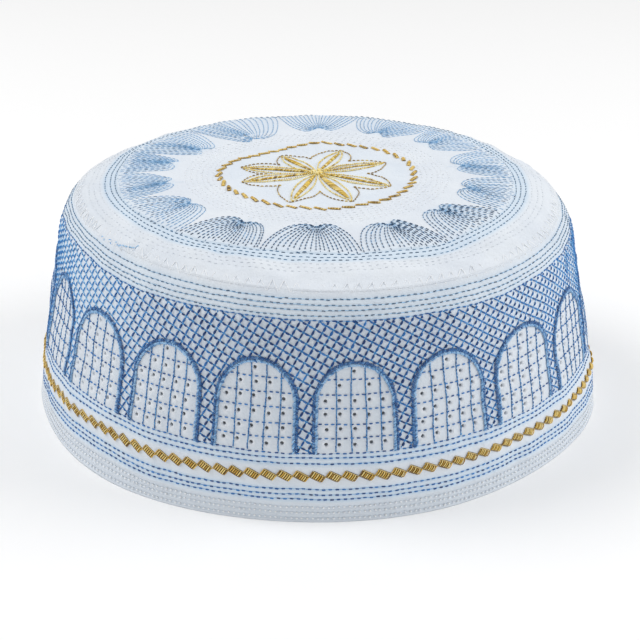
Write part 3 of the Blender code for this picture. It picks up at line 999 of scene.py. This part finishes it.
lattice = {
    "lines": (           # direction; falling lines passed in a millimetre along and up; rising ones
        (-180.0, 0.130, 0.335, -0.330, 0.175), (-150.0, 0.125, 0.335, -0.330, 0.175),
        (-130.0, 0.125, 0.338, -0.330, 0.175), (-110.0, 0.152, 0.336, -0.333, 0.182),
        (-90.0, 0.175, 0.325, -0.336, 0.195), (-70.0, 0.205, 0.330, -0.327, 0.212),
        (-50.0, 0.212, 0.318, -0.305, 0.235), (-25.0, 0.213, 0.322, -0.300, 0.235),
        (0.0, 0.200, 0.325, -0.310, 0.220), (90.0, 0.165, 0.330, -0.320, 0.200),
        (180.0, 0.130, 0.335, -0.330, 0.175),
    ),
    "looks": (           # direction; dark share and width of falling lines, then of rising ones; painted light and shade, how much lighter or darker the threads are on that side of the cap
        (-180.0, 0.34, 0.26, 0.80, 0.32, 0.72), (-150.0, 0.36, 0.30, 0.80, 0.38, 0.56),
        (-130.0, 0.42, 0.48, 0.76, 0.62, 0.14), (-110.0, 0.54, 0.68, 0.66, 0.88, -0.08),
        (-90.0, 0.60, 0.76, 0.64, 0.94, -0.12), (-70.0, 0.68, 0.74, 0.56, 0.88, -0.08),
        (-50.0, 0.76, 0.64, 0.54, 0.64, 0.10), (-30.0, 0.78, 0.54, 0.52, 0.48, 0.32),
        (-10.0, 0.70, 0.40, 0.46, 0.36, 0.54), (30.0, 0.60, 0.46, 0.52, 0.42, 0.28),
        (90.0, 0.60, 0.54, 0.60, 0.58, 0.10), (180.0, 0.34, 0.26, 0.80, 0.32, 0.72),
    ),
    "level": 59.3,
    "radius": 87.5,
    "lineWidth": 0.54,
    "lineRise": 0.17,
    "dashRise": 0.15,
    "lift": 0.13,
    "tones": (0.42, 0.30),     # of falling dashes, of rising ones
}


def latticeSides():
    # the corners lie where two running counts of lines are whole; both counts close round the cap
    fine = np.arange(-200.0, 200.01, 0.5)
    perDegree = math.radians(1.0) * lattice["radius"]
    counts, upward = [], []
    for column in (1, 3):
        whole = lookUp(lattice["lines"], np.arange(-180.0, 180.0, 0.5), column).sum() * 0.5 * perDegree
        rate = lookUp(lattice["lines"], wrapped(fine), column) * perDegree * round(whole) / whole
        counts.append(np.concatenate(([0.0], np.cumsum(0.25 * (rate[1:] + rate[:-1])))))
        upward.append(lookUp(lattice["lines"], wrapped(fine), column + 1))
    m, n = np.meshgrid(*(np.arange(math.floor(c.min() - 13), math.ceil(c.max() + 4)) for c in counts),
                       indexing="ij")
    low, high = np.full(m.shape, -200.0), np.full(m.shape, 200.0)
    for _ in range(26):
        u = 0.5 * (low + high)
        ahead = (np.interp(u, fine, upward[1]) * (np.interp(u, fine, counts[0]) - m)
                 - np.interp(u, fine, upward[0]) * (np.interp(u, fine, counts[1]) - n))
        low, high = np.where(ahead < 0, u, low), np.where(ahead < 0, high, u)
    v = lattice["level"] + (m - np.interp(u, fine, counts[0])) / np.interp(u, fine, upward[0])
    corners = np.stack((u, v))
    sides = []
    for a, b in ((corners[:, :, :-1], corners[:, :, 1:]), (corners[:, :-1], corners[:, 1:])):
        a, b = a.reshape(2, -1), b.reshape(2, -1)
        centre = 0.5 * (a[0] + b[0])
        keep = (centre >= -180.0) & (centre < 180.0) & (np.abs(b[1] - a[1]) > 0.01)
        a, b = a[:, keep], b[:, keep]
        # cut off at the row above and at the foot of the arches
        cuts = [(level - a[1]) / (b[1] - a[1]) for level in (stitching["latticeTop"], arches["foot"] + 0.2)]
        first, last = np.clip(np.minimum(*cuts), 0, 1), np.clip(np.maximum(*cuts), 0, 1)
        a, b = a + (b - a) * first, a + (b - a) * last
        side = fromArch((a[0] + b[0]) / 2)[1]
        seen = (last - first > 0.3) & (archOutline(side, (a[1] + b[1]) / 2, 0.35) > 1.0)
        sides.append((a[:, seen], b[:, seen]))
    return sides


dashes, lines = [], []
for rising, (a, b) in enumerate(latticeSides()):
    rng = np.random.default_rng(90 + rising)
    count = a.shape[1]
    # light: painted light and shade round the cap, darker at the front and lighter towards the sides and back
    share, wide, light = (
        lookUp(lattice["looks"], a[0], column) for column in (1 + 2 * rising, 2 + 2 * rising, 5))
    near, far = (onWall(u + rng.normal(0, 0.03, count), v) for u, v in (a, b))
    addStrips(lines, near, far, lattice["lineWidth"], lattice["lineRise"],
              tones(rng, 0.27, 0.22, count, light))
    spot = 0.5 + rng.normal(0, 0.04, count)
    slips = rng.normal(0, 0.05, (2, count))
    ends = []
    for reach, slip in zip((-share / 2, share / 2), slips):
        u, v = a + (b - a) * (spot + reach)
        ends.append(onWall(u, v + slip, lattice["lift"]))
    tone = tones(rng, lattice["tones"][rising], 0.22, count, light)
    addStitches(dashes, *ends, wide * rng.uniform(0.85, 1.15, count), lattice["dashRise"], tone, rings=3)
makePiece("latticeDashes", dashes, threads["navyThread"])
makePiece("latticeLines", lines, threads["skyThread"])
print("Lattice ready")


# The square grid in every window

windowGrid = {
    "pitchUp": 1.2,
    "dashUp": 0.98,
    "pitchAcross": 1.95,
    "dashAcross": 1.35,
    "width": 0.52,
    "underWidth": 0.42,
    "rise": 0.12,
    "lift": 0.13,
    "inset": 0.75,           # how far the grid stays inside the arch
}


def gridRow(rng, spot, first, last, pitch):
    # where the stitches of one line begin, and how far off both their ends are
    count = int((last - first) / pitch)
    at = first + (np.arange(count) + 0.1) * (last - first) / count
    slips = rng.normal(0, 0.06, (2, count))
    drift = 0.12 * np.sin(at / 5.0 + rng.random() * 6)
    return at, spot + drift + slips


def buildGrid():
    upright, level, pale = [], [], []
    clear = arches["halfWidth"] - windowGrid["inset"]
    rise = arches["crown"] - arches["spring"] - windowGrid["inset"]
    width, height = windowGrid["width"], windowGrid["rise"]

    def onWindow(number, side, v):
        return onWall(archCentres[number] + np.degrees(side / archFeet[number]), v, windowGrid["lift"])

    for number in range(arches["count"]):
        rng = np.random.default_rng(300 + number)
        for side in gridSlips[number] + np.array(arches["gridSides"]):
            top = arches["spring"] + rise * math.sqrt(1 - (side / clear) ** 2)
            at, off = gridRow(rng, side, arches["foot"] + 0.3, top, windowGrid["pitchUp"])
            near = onWindow(number, off[0], at)
            far = onWindow(number, off[1], at + windowGrid["dashUp"])
            addStitches(upright, near, far, width, height, tones(rng, 0.3, 0.3, len(at)))
            further = [np.concatenate((a[1:], b[-1:])) for a, b in zip(near, far)]
            addStrips(pale, near, further, windowGrid["underWidth"], height, tones(rng, 0.75, 0.2, len(at)))
        for row in arches["gridHeights"]:
            reach = clear * math.sqrt(1 - (max(0.0, row - arches["spring"]) / rise) ** 2)
            at, off = gridRow(rng, row, -reach, reach, windowGrid["pitchAcross"])
            near = onWindow(number, at, off[0])
            far = onWindow(number, at + windowGrid["dashAcross"], off[1])
            addStitches(level, near, far, width, height, tones(rng, 0.6, 0.2, len(at)))
    makePiece("windowUnderThread", pale, threads["blueThread"])
    makePiece("windowRows", level, threads["navyThread"])
    makePiece("windowGrid", upright, threads["blueThread"])


buildGrid()
print("Window grids ready")


# The raised satin cords round the arches: two strands of slanted threads

cord = {
    "strands": ((0.43, 0.25, 0.20), (-0.43, 0.72, 0.22)),     # place, how light and how uneven
    "strandWidth": 1.1,
    "threadPitch": 0.46,
    "threadWidth": 0.46,
    "slant": 0.6,
    "height": 0.42,
    "uneven": 0.12,
}


def cordLine():
    # points along the middle line of an arch: side and height, and the direction along it
    rise = arches["crown"] - arches["spring"]
    fine = np.linspace(0, math.pi, 200)
    half, foot = arches["halfWidth"], arches["foot"]
    side = np.concatenate(([-half], -half * np.cos(fine), [half]))
    height = np.concatenate(([foot], arches["spring"] + rise * np.sin(fine), [foot]))
    run = runOf(np.diff(side), np.diff(height))
    at = np.linspace(0.0, run[-1], int(run[-1] / cord["threadPitch"]))
    line = np.stack((np.interp(at, run, side), np.interp(at, run, height)))
    return line, unit(np.gradient(line, axis=1).T).T


def buildCord(number):
    bundle = []
    line, ahead = cordLine()
    out = np.stack((-ahead[1], ahead[0]))
    count = line.shape[1]
    rng = np.random.default_rng(400 + number)
    for place, base, spread in cord["strands"]:
        ends = []
        for sign in (-1, 1):
            across = place + sign * cord["strandWidth"] / 2 + rng.normal(0, cord["uneven"], count)
            forward = sign * cord["slant"] * 0.5 * (1 if place > 0 else -1)
            side, height = line + out * across + ahead * forward
            u = archCentres[number] + side * 180.0 / math.pi / archFeet[number]
            ends.append(onWall(u, np.maximum(height, arches["foot"] - 0.3), 0.05))
        tone = tones(rng, base, spread, count)
        height = cord["height"] * rng.uniform(0.85, 1.15, count)
        addStitches(bundle, *ends, cord["threadWidth"], height, tone, rings=3)
    node = "arch_trim_%02d" % (number + 1)
    makePiece("archCord_%02d" % (number + 1), bundle, threads["cordThread"], (node,))


for number in range(arches["count"]):
    buildCord(number)
print("Arch cords ready")


# The gold braid: slanted satin blocks in a chain

def addBlocks(bundle, look, surface, at, rng):
    # surface: function of the block's angle, a distance along and a distance down, and a lift
    fall, slant = math.radians(look["fall"]), math.radians(look["ends"])
    along = np.array((math.cos(fall), math.sin(fall))) * look["length"] / 2
    end = np.array((-math.cos(slant), math.sin(slant))) * look["width"] / 2
    count = look["threads"]

    def laid(first, last, lift, slip=0.0):
        shifts = rng.normal(0, 1, (2, len(at))) * slip
        return [surface(at, point[0] + shift, point[1], lift) for point, shift in zip((first, last), shifts)]

    # satin threads side by side across the block: every other one painted lighter and the rest darker,
    # painted highlight on the crests and painted shade between them, the two outer ones painted darker still
    for k, spot in enumerate((np.arange(count) + 0.5) / count * 2 - 1):
        tone = look["tone"] + (0.16 if k % 2 else -0.10) - 0.12 * (k in (0, count - 1))
        addStitches(bundle, *laid(along * spot - end, along * spot + end, 0.05, 0.04),
                    look["threadWidth"], look["rise"] * rng.uniform(0.85, 1.1, len(at)),
                    tones(rng, tone, 0.16, len(at)), sides=6, rings=4, blunt=True)
    # near-black padding under the satin, painted shade that shows in the gaps between its threads
    for side in (-0.62, 0.0, 0.62):
        addStitches(bundle, *laid(end * side - along * 0.95, end * side + along * 0.95, 0.0),
                    look["width"] * 0.42, 0.14, 0.0, rings=3, blunt=True)
    # a pale thread along the upper edge, a painted highlight where the light catches the block; thin brown
    # ones outside both edges
    for side, tone, wide in ((-1.0, 1.0, 1.0), (-1.24, 0.28, 0.7), (1.14, 0.22, 0.8)):
        addStitches(bundle, *laid(end * side - along, end * side + along, 0.04),
                    look["edgeWidth"] * wide, 0.14, tones(rng, tone, 0.10, len(at)), rings=3)


braid = {
    "blocks": 113,
    "height": 15.6,
    "length": 4.9,
    "width": 2.1,
    "fall": 26.0,        # how far a block falls to the right, degrees
    "ends": 54.0,        # slant of its two ends and of its threads
    "threads": 7,
    "threadWidth": 0.38,
    "edgeWidth": 0.26,
    "rise": 0.50,
    "tone": 0.68,
}


def buildBraid():
    rng = np.random.default_rng(7)
    bundle = []
    radius = float(lookUp(wall["profile"], braid["height"]))
    count = braid["blocks"]

    def surface(at, across, down, lift):
        return onWall(at + np.degrees(across / radius), braid["height"] - down, lift)

    at = (np.arange(count) + rng.normal(0, 0.02, count)) * 360.0 / count
    addBlocks(bundle, braid, surface, at, rng)
    # the short thread from each block to the next
    half = braid["length"] / 2 * math.cos(math.radians(braid["fall"]))
    near = surface(at, half - 0.2, 0.55, 0.05)
    far = surface(at + 360.0 / count, -half + 0.1, 0.1, 0.05)
    addStitches(bundle, near, far, 0.34, 0.2, 0.75)
    makePiece("goldBraidBlocks", bundle, threads["goldThread"], ("gold_braid",))


buildBraid()
print("Gold braid ready")


# The crown: blue rows, white quilting, grey rows on the rolled edge

crownRows = {
    "crownBlueRows": {
        "rows": "blueRows", "thread": "slateThread", "slot": "arch_trim", "width": 0.42, "rise": 0.15,
        "pitch": 2.1, "dash": 1.45, "slip": 0.08, "tone": (0.5, 0.25), "seed": 70,
    },
    "crownQuilting": {
        "rows": "quiltRows", "thread": "whiteThread", "slot": "crown_panel", "width": 0.34, "rise": 0.14,
        "pitch": 2.2, "dash": 1.0, "slip": 0.25, "tone": (0.3, 0.35), "seed": 80,
    },
    "crownGreyRows": {
        # white quilting drawn in grey thread, painted shade that lets these rows show on the rolled edge
        "rows": "greyRows", "thread": "greyThread", "slot": "crown_panel", "width": 0.3, "rise": 0.12,
        "pitch": 2.2, "dash": 1.2, "slip": 0.08, "tone": (0.5, 0.3), "seed": 180,
    },
}

for name, look in crownRows.items():
    bundle = []
    for n, row in enumerate(crownStitching[look["rows"]]):
        near, far, rng = alongRow(
            onCrown, row, row, look["pitch"], look["dash"], look["seed"] + n, look["slip"])
        addStitches(bundle, near, far, look["width"], look["rise"], tones(rng, *look["tone"], len(near[0])))
    makePiece(name, bundle, threads[look["thread"]])
print("Crown rows ready")


# Fourteen shells of curved ribs

ribThreads = {
    "pitch": 1.95,
    "dash": 1.42,
    "closeDash": 1.55,       # on the shells painted light
    "tipGap": 0.14,          # every other rib stops short of the crowded tip
    "rise": 0.14,
    "lift": 0.06,
    "underPitch": 2.4,
    "underWidth": 0.20,
    "underRise": 0.12,
}


def buildShells():
    bundle, under = [], []
    fine = np.linspace(0.0, 1.0, 120)
    for n, shell in enumerate(shells):
        rng = np.random.default_rng(500 + n)
        # tone: painted shade darkens the front shells, painted light brightens the rest
        centre, tone, width = shell[2], shell[4], shell[5]
        dash = ribThreads["closeDash" if tone > 0.5 else "dash"]
        for k, q in enumerate(np.linspace(-1, 1, crownStitching["ribs"])):
            first = ribThreads["tipGap"] * (k % 2)
            off, r = shellRib(shell, q + rng.normal(0, 0.008), first + (1 - first) * fine)
            run = runOf(np.diff(r), np.diff(np.radians(off)) * r[1:])
            count = int(run[-1] / ribThreads["pitch"])
            at = (np.arange(count) + 0.5 * (k % 2) + rng.random() * 0.3) * ribThreads["pitch"]
            ends = []
            for spot in (at, np.minimum(at + dash, run[-1])):
                turn = np.interp(spot, run, off) + rng.normal(0, 0.04, count)
                ends.append(onCrown(centre + turn, np.interp(spot, run, r), ribThreads["lift"]))
            addStitches(bundle, *ends, width, ribThreads["rise"], tones(rng, tone, 0.2, count))
            spots = np.linspace(0.0, run[-1], max(4, int(run[-1] / ribThreads["underPitch"])))
            points, ups = onCrown(centre + np.interp(spots, run, off), np.interp(spots, run, r), 0.01)
            addStrips(under, (points[:-1], ups[:-1]), (points[1:], ups[1:]), ribThreads["underWidth"],
                      ribThreads["underRise"], tones(rng, 0.35, 0.25, len(points) - 1))
    makePiece("shellUnderThread", under, threads["paleThread"])
    makePiece("shellRibs", bundle, threads["shellThread"])


buildShells()
print("Shells ready")


# Gold ring and flower in the middle

ring = {
    "outline": (
        (-180.0, 33.2), (-135.0, 32.2), (-90.0, 32.5), (-45.0, 32.8), (0.0, 32.8), (30.0, 33.4), (60.0, 32.0),
        (90.0, 31.0), (107.0, 28.8), (121.0, 26.4), (142.0, 28.0), (160.0, 31.0), (180.0, 33.2),
    ),
    "radius": 32.0,
    "begin": -178.0,
    "blocks": 44,
    "length": 4.3,
    "width": 1.05,
    "fall": 24.0,
    "ends": 62.0,
    "threads": 9,
    "threadWidth": 0.37,
    "edgeWidth": 0.20,
    "rise": 0.28,
    "tone": 0.68,
}


def buildRing():
    bundle = []

    def surface(at, across, down, lift):
        turn = at + np.degrees(across / ring["radius"])
        return onCrown(turn, lookUp(ring["outline"], wrapped(turn)) + down, lift)

    at = np.arange(ring["blocks"]) * 360.0 / ring["blocks"] + ring["begin"]
    addBlocks(bundle, ring, surface, at, np.random.default_rng(17))
    makePiece("goldRingBlocks", bundle, threads["goldThread"], ("gold_ring",))


flower = {
    "petals": (          # direction, length, width of the satin ridge
        (27.0, 25.9, 1.1), (70.0, 24.8, 1.5), (127.0, 20.5, 1.8), (168.0, 25.9, 1.1),
        (200.0, 26.0, 1.6), (253.0, 27.6, 2.0), (294.0, 28.2, 2.6), (334.0, 26.8, 1.2),
    ),
    "valley": 0.63,
    "lensHalf": 2.85,
    "threadWidth": 0.42,
    "ridgeRise": 0.35,
    # stitches as pitch, dash, width, rise and tone: a full line round the ridge and a dotted one inside it,
    # each after its reach, and the dashed outline of the petal
    "lines": ((1.0, (0.80, 0.76, 0.56, 0.22, 0.70)), (0.72, (0.80, 0.56, 0.32, 0.22, 0.5))),
    "outline": (1.4, 1.25, 0.44, 0.18, 0.06),
    "knot": {"stitches": 26, "reach": 2.3, "half": 0.9, "width": 0.7, "rise": (0.4, 0.9)},
}


def runStitches(bundle, path, pitch, dash, width, rise, tone, rng):
    # path: function of a share 0..1 that gives x, y on the crown's chart
    x, y = path(np.linspace(0, 1, 80))
    run = runOf(np.diff(x), np.diff(y))
    count = max(1, int(run[-1] / pitch))
    at = np.arange(count) * run[-1] / count
    ends = [crownPoint(np.interp(spot, run, x), np.interp(spot, run, y), 0.04)
            for spot in (at, np.minimum(at + dash, run[-1]))]
    addStitches(bundle, *ends, width, rise, tones(rng, tone, 0.2, count), rings=3)


def buildFlower():
    rng = np.random.default_rng(27)
    bundle = []
    petals, knot = flower["petals"], flower["knot"]
    for k, (degrees, length, ridge) in enumerate(petals):
        c, s = math.cos(math.radians(degrees)), math.sin(math.radians(degrees))
        # satin ridge: threads across a slim spindle
        count = int(length * 0.8 / flower["threadWidth"])
        along = length * (0.10 + 0.80 * (np.arange(count) + 0.5) / count)
        half = 0.5 * ridge * np.sin(np.pi * ((along / length - 0.08) / 0.86).clip(0.05, 0.95)) ** 0.6
        ends = []
        for side in (-half, half):
            a = along + side * 0.8
            ends.append(crownPoint(a * c - side * s, a * s + side * c, 0.03))
        addStitches(bundle, *ends, flower["threadWidth"], flower["ridgeRise"], tones(rng, 0.42, 0.25, count),
                    sides=6, rings=3)
        for sign in (-1, 1):
            for reach, stitches in flower["lines"]:
                # the dotted line is left out on the petals that point to the front and the back
                if reach < 1 and abs(s) > 0.6:
                    continue

                def lens(share):
                    a = length * (0.06 + 0.93 * share)
                    b = sign * reach * flower["lensHalf"] * np.sin(np.pi * share) ** 0.8
                    return a * c - b * s, a * s + b * c
                runStitches(bundle, lens, *stitches, rng)
            # dashed outline from the tip to the valley on that side
            other = petals[(k + sign) % len(petals)]
            turn = sign * ((sign * (other[0] - degrees)) % 360)
            valley = flower["valley"] * 0.5 * (length + other[1])

            def petalEdge(share):
                radius = valley + (length + 0.6 - valley) * (1 - share) ** 0.65
                angle = np.radians(degrees + turn * 0.5 * share)
                return radius * np.cos(angle), radius * np.sin(angle)
            runStitches(bundle, petalEdge, *flower["outline"], rng)
    # the knot in the middle
    count = knot["stitches"]
    angle = np.radians(rng.random(count) * 360.0)
    reach = knot["reach"] * np.sqrt(rng.random(count))
    turn = rng.random(count) * 6.28
    x, y = reach * np.cos(angle), reach * np.sin(angle)
    dx, dy = knot["half"] * np.cos(turn), knot["half"] * np.sin(turn)
    addStitches(bundle, crownPoint(x - dx, y - dy, 0.2), crownPoint(x + dx, y + dy, 0.2), knot["width"],
                rng.uniform(*knot["rise"], count), tones(rng, 0.75, 0.15, count), sides=6, rings=5)
    makePiece("goldFlowerStitches", bundle, threads["strawThread"], ("gold_flower",))


buildRing()
buildFlower()
print("Gold ring and flower ready")


# The white zigzag that joins crown and wall

def buildZigzag():
    rng = np.random.default_rng(37)
    bundle = []
    count = zigzag["count"]
    step = 360.0 / count
    u = np.arange(count) * step + rng.normal(0, 0.15, count)
    low = onWall(u, wall["top"] - zigzag["down"] + rng.normal(0, 0.12, count), 0.02)
    high = onCrown(u + step / 2, crownEdge(np.radians(u + step / 2)) - zigzag["reach"], 0.02)
    tone = tones(rng, 0.7, 0.2, count)
    for near, far in ((low, high), (high, nextOf(low))):
        addStitches(bundle, near, far, zigzag["width"], zigzag["rise"], tone, rings=5)
    makePiece("joinZigzag", bundle, threads["whiteThread"])


buildZigzag()
print("Zigzag join ready")


# Loose threads where the edge is puckered on the left

looseThreads = {
    "ends": (            # direction and distance of one end, how far round and how far out the other one is
        (-147.0, 81.2, 0.3, -0.5), (-145.4, 81.5, 0.5, 0.4), (-144.0, 81.0, 0.4, -0.7),
        (-142.6, 81.6, 0.6, 0.3), (-141.4, 80.9, 0.2, -0.9), (-140.2, 81.5, 0.5, -0.6),
        (-139.4, 81.0, -0.3, -0.8),
    ),
    "width": 0.34,
    "rise": 0.25,
    "strand": (-139.5, 4.5, 81.4, -3.6),     # a longer one: direction and run, distance and run
    "strandStitches": (1.0, 1.05, 0.30, 0.22, 0.9),
}


def buildLooseThreads():
    rng = np.random.default_rng(47)
    bundle = []
    direction, distance, turn, reach = np.array(looseThreads["ends"]).T
    addStitches(bundle, onCrown(direction, distance, 0.10), onCrown(direction + turn, distance + reach, 0.10),
                looseThreads["width"], looseThreads["rise"], rng.uniform(0.2, 0.8, len(direction)), rings=3)

    def strand(share):
        begin, around, first, out = looseThreads["strand"]
        angle = np.radians(begin + around * share)
        radius = first + out * np.sin(share * 1.6)
        return radius * np.cos(angle), radius * np.sin(angle)
    runStitches(bundle, strand, *looseThreads["strandStitches"], rng)
    makePiece("looseThreads", bundle, threads["skyThread"])


buildLooseThreads()
print("Loose threads ready")


# Floor, light and camera

studio = {
    "floor": (0.97, 0.97, 0.97),
    "floorGlow": 0.05,
    "world": 0.54,
    "aim": (0.0, 0.0, 0.04),
    "lights": {          # place, power
        "keyLight": ((-0.75, 0.05, 0.95), 5.7),
        "fillLight": ((0.95, 0.0, 0.68), 5.3),
    },
    "lightSize": 0.8,
}

mesh = bpy.data.meshes.new("floor")
mesh.from_pydata([(-4, -4, 0), (4, -4, 0), (4, 6, 0), (-4, 6, 0)], [], [(0, 1, 2, 3)])
floor = bpy.data.objects.new("floor", mesh)
bpy.context.scene.collection.objects.link(floor)
floorMaterial = bpy.data.materials.new("paleFloor")
floorMaterial.use_nodes = True
floorShader = floorMaterial.node_tree.nodes["Principled BSDF"]
floorShader.inputs["Base Color"].default_value = (*studio["floor"], 1.0)
floorShader.inputs["Roughness"].default_value = 0.9
floorShader.inputs["Emission Color"].default_value = (1.0, 1.0, 1.0, 1.0)
floorShader.inputs["Emission Strength"].default_value = studio["floorGlow"]
mesh.materials.append(floorMaterial)
floor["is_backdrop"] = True

world = bpy.data.worlds.new("studioWorld")
world.use_nodes = True
world.node_tree.nodes["Background"].inputs["Color"].default_value = (1.0, 1.0, 1.0, 1.0)
world.node_tree.nodes["Background"].inputs["Strength"].default_value = studio["world"]
bpy.context.scene.world = world


def addAt(name, data, axes, place):
    # a lamp or camera at its place; axes: its right, its up and the way it looks away from
    thing = bpy.data.objects.new(name, data)
    bpy.context.scene.collection.objects.link(thing)
    thing.matrix_world = Matrix([
        [axes[0][i], axes[1][i], axes[2][i], place[i]] for i in range(3)] + [[0, 0, 0, 1]])
    return thing


for name, (place, power) in studio["lights"].items():
    light = bpy.data.lights.new(name, "AREA")
    light.shape = "DISK"
    light.size = studio["lightSize"]
    light.energy = power
    away = unit(np.array(place) - studio["aim"])
    right = unit(np.cross((0.0, 1.0, 0.1), away))
    addAt(name, light, (right, np.cross(away, right), away), place)

view = {
    "place": (-0.00078, -0.60117, 0.29246),
    "lens": 105.9,
    "pitch": 0.41555,
    "yaw": 0.00281,
    "roll": 0.01319,
}
yaw, pitch, roll = view["yaw"], view["pitch"], view["roll"]
ahead = np.array((math.sin(yaw) * math.cos(pitch), math.cos(yaw) * math.cos(pitch), -math.sin(pitch)))
right = np.array((math.cos(yaw), -math.sin(yaw), 0.0))
upward = np.cross(right, ahead)
tilted = (math.cos(roll) * right + math.sin(roll) * upward, math.cos(roll) * upward - math.sin(roll) * right)
cameraData = bpy.data.cameras.new("camera")
cameraData.lens = view["lens"]
cameraData.sensor_width = 36.0
cameraData.clip_start = 0.01
bpy.context.scene.camera = addAt("camera", cameraData, (*tilted, -ahead), view["place"])
bpy.context.scene.view_settings.view_transform = "Standard"

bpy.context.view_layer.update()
total = 0
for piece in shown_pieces():
    if piece.type == "MESH":
        count = sum(len(face.vertices) - 2 for face in piece.data.polygons)
        total += count
        if count > 20000:
            print(piece.name, count)
print("Triangles in all:", total)
print("Scene ready")
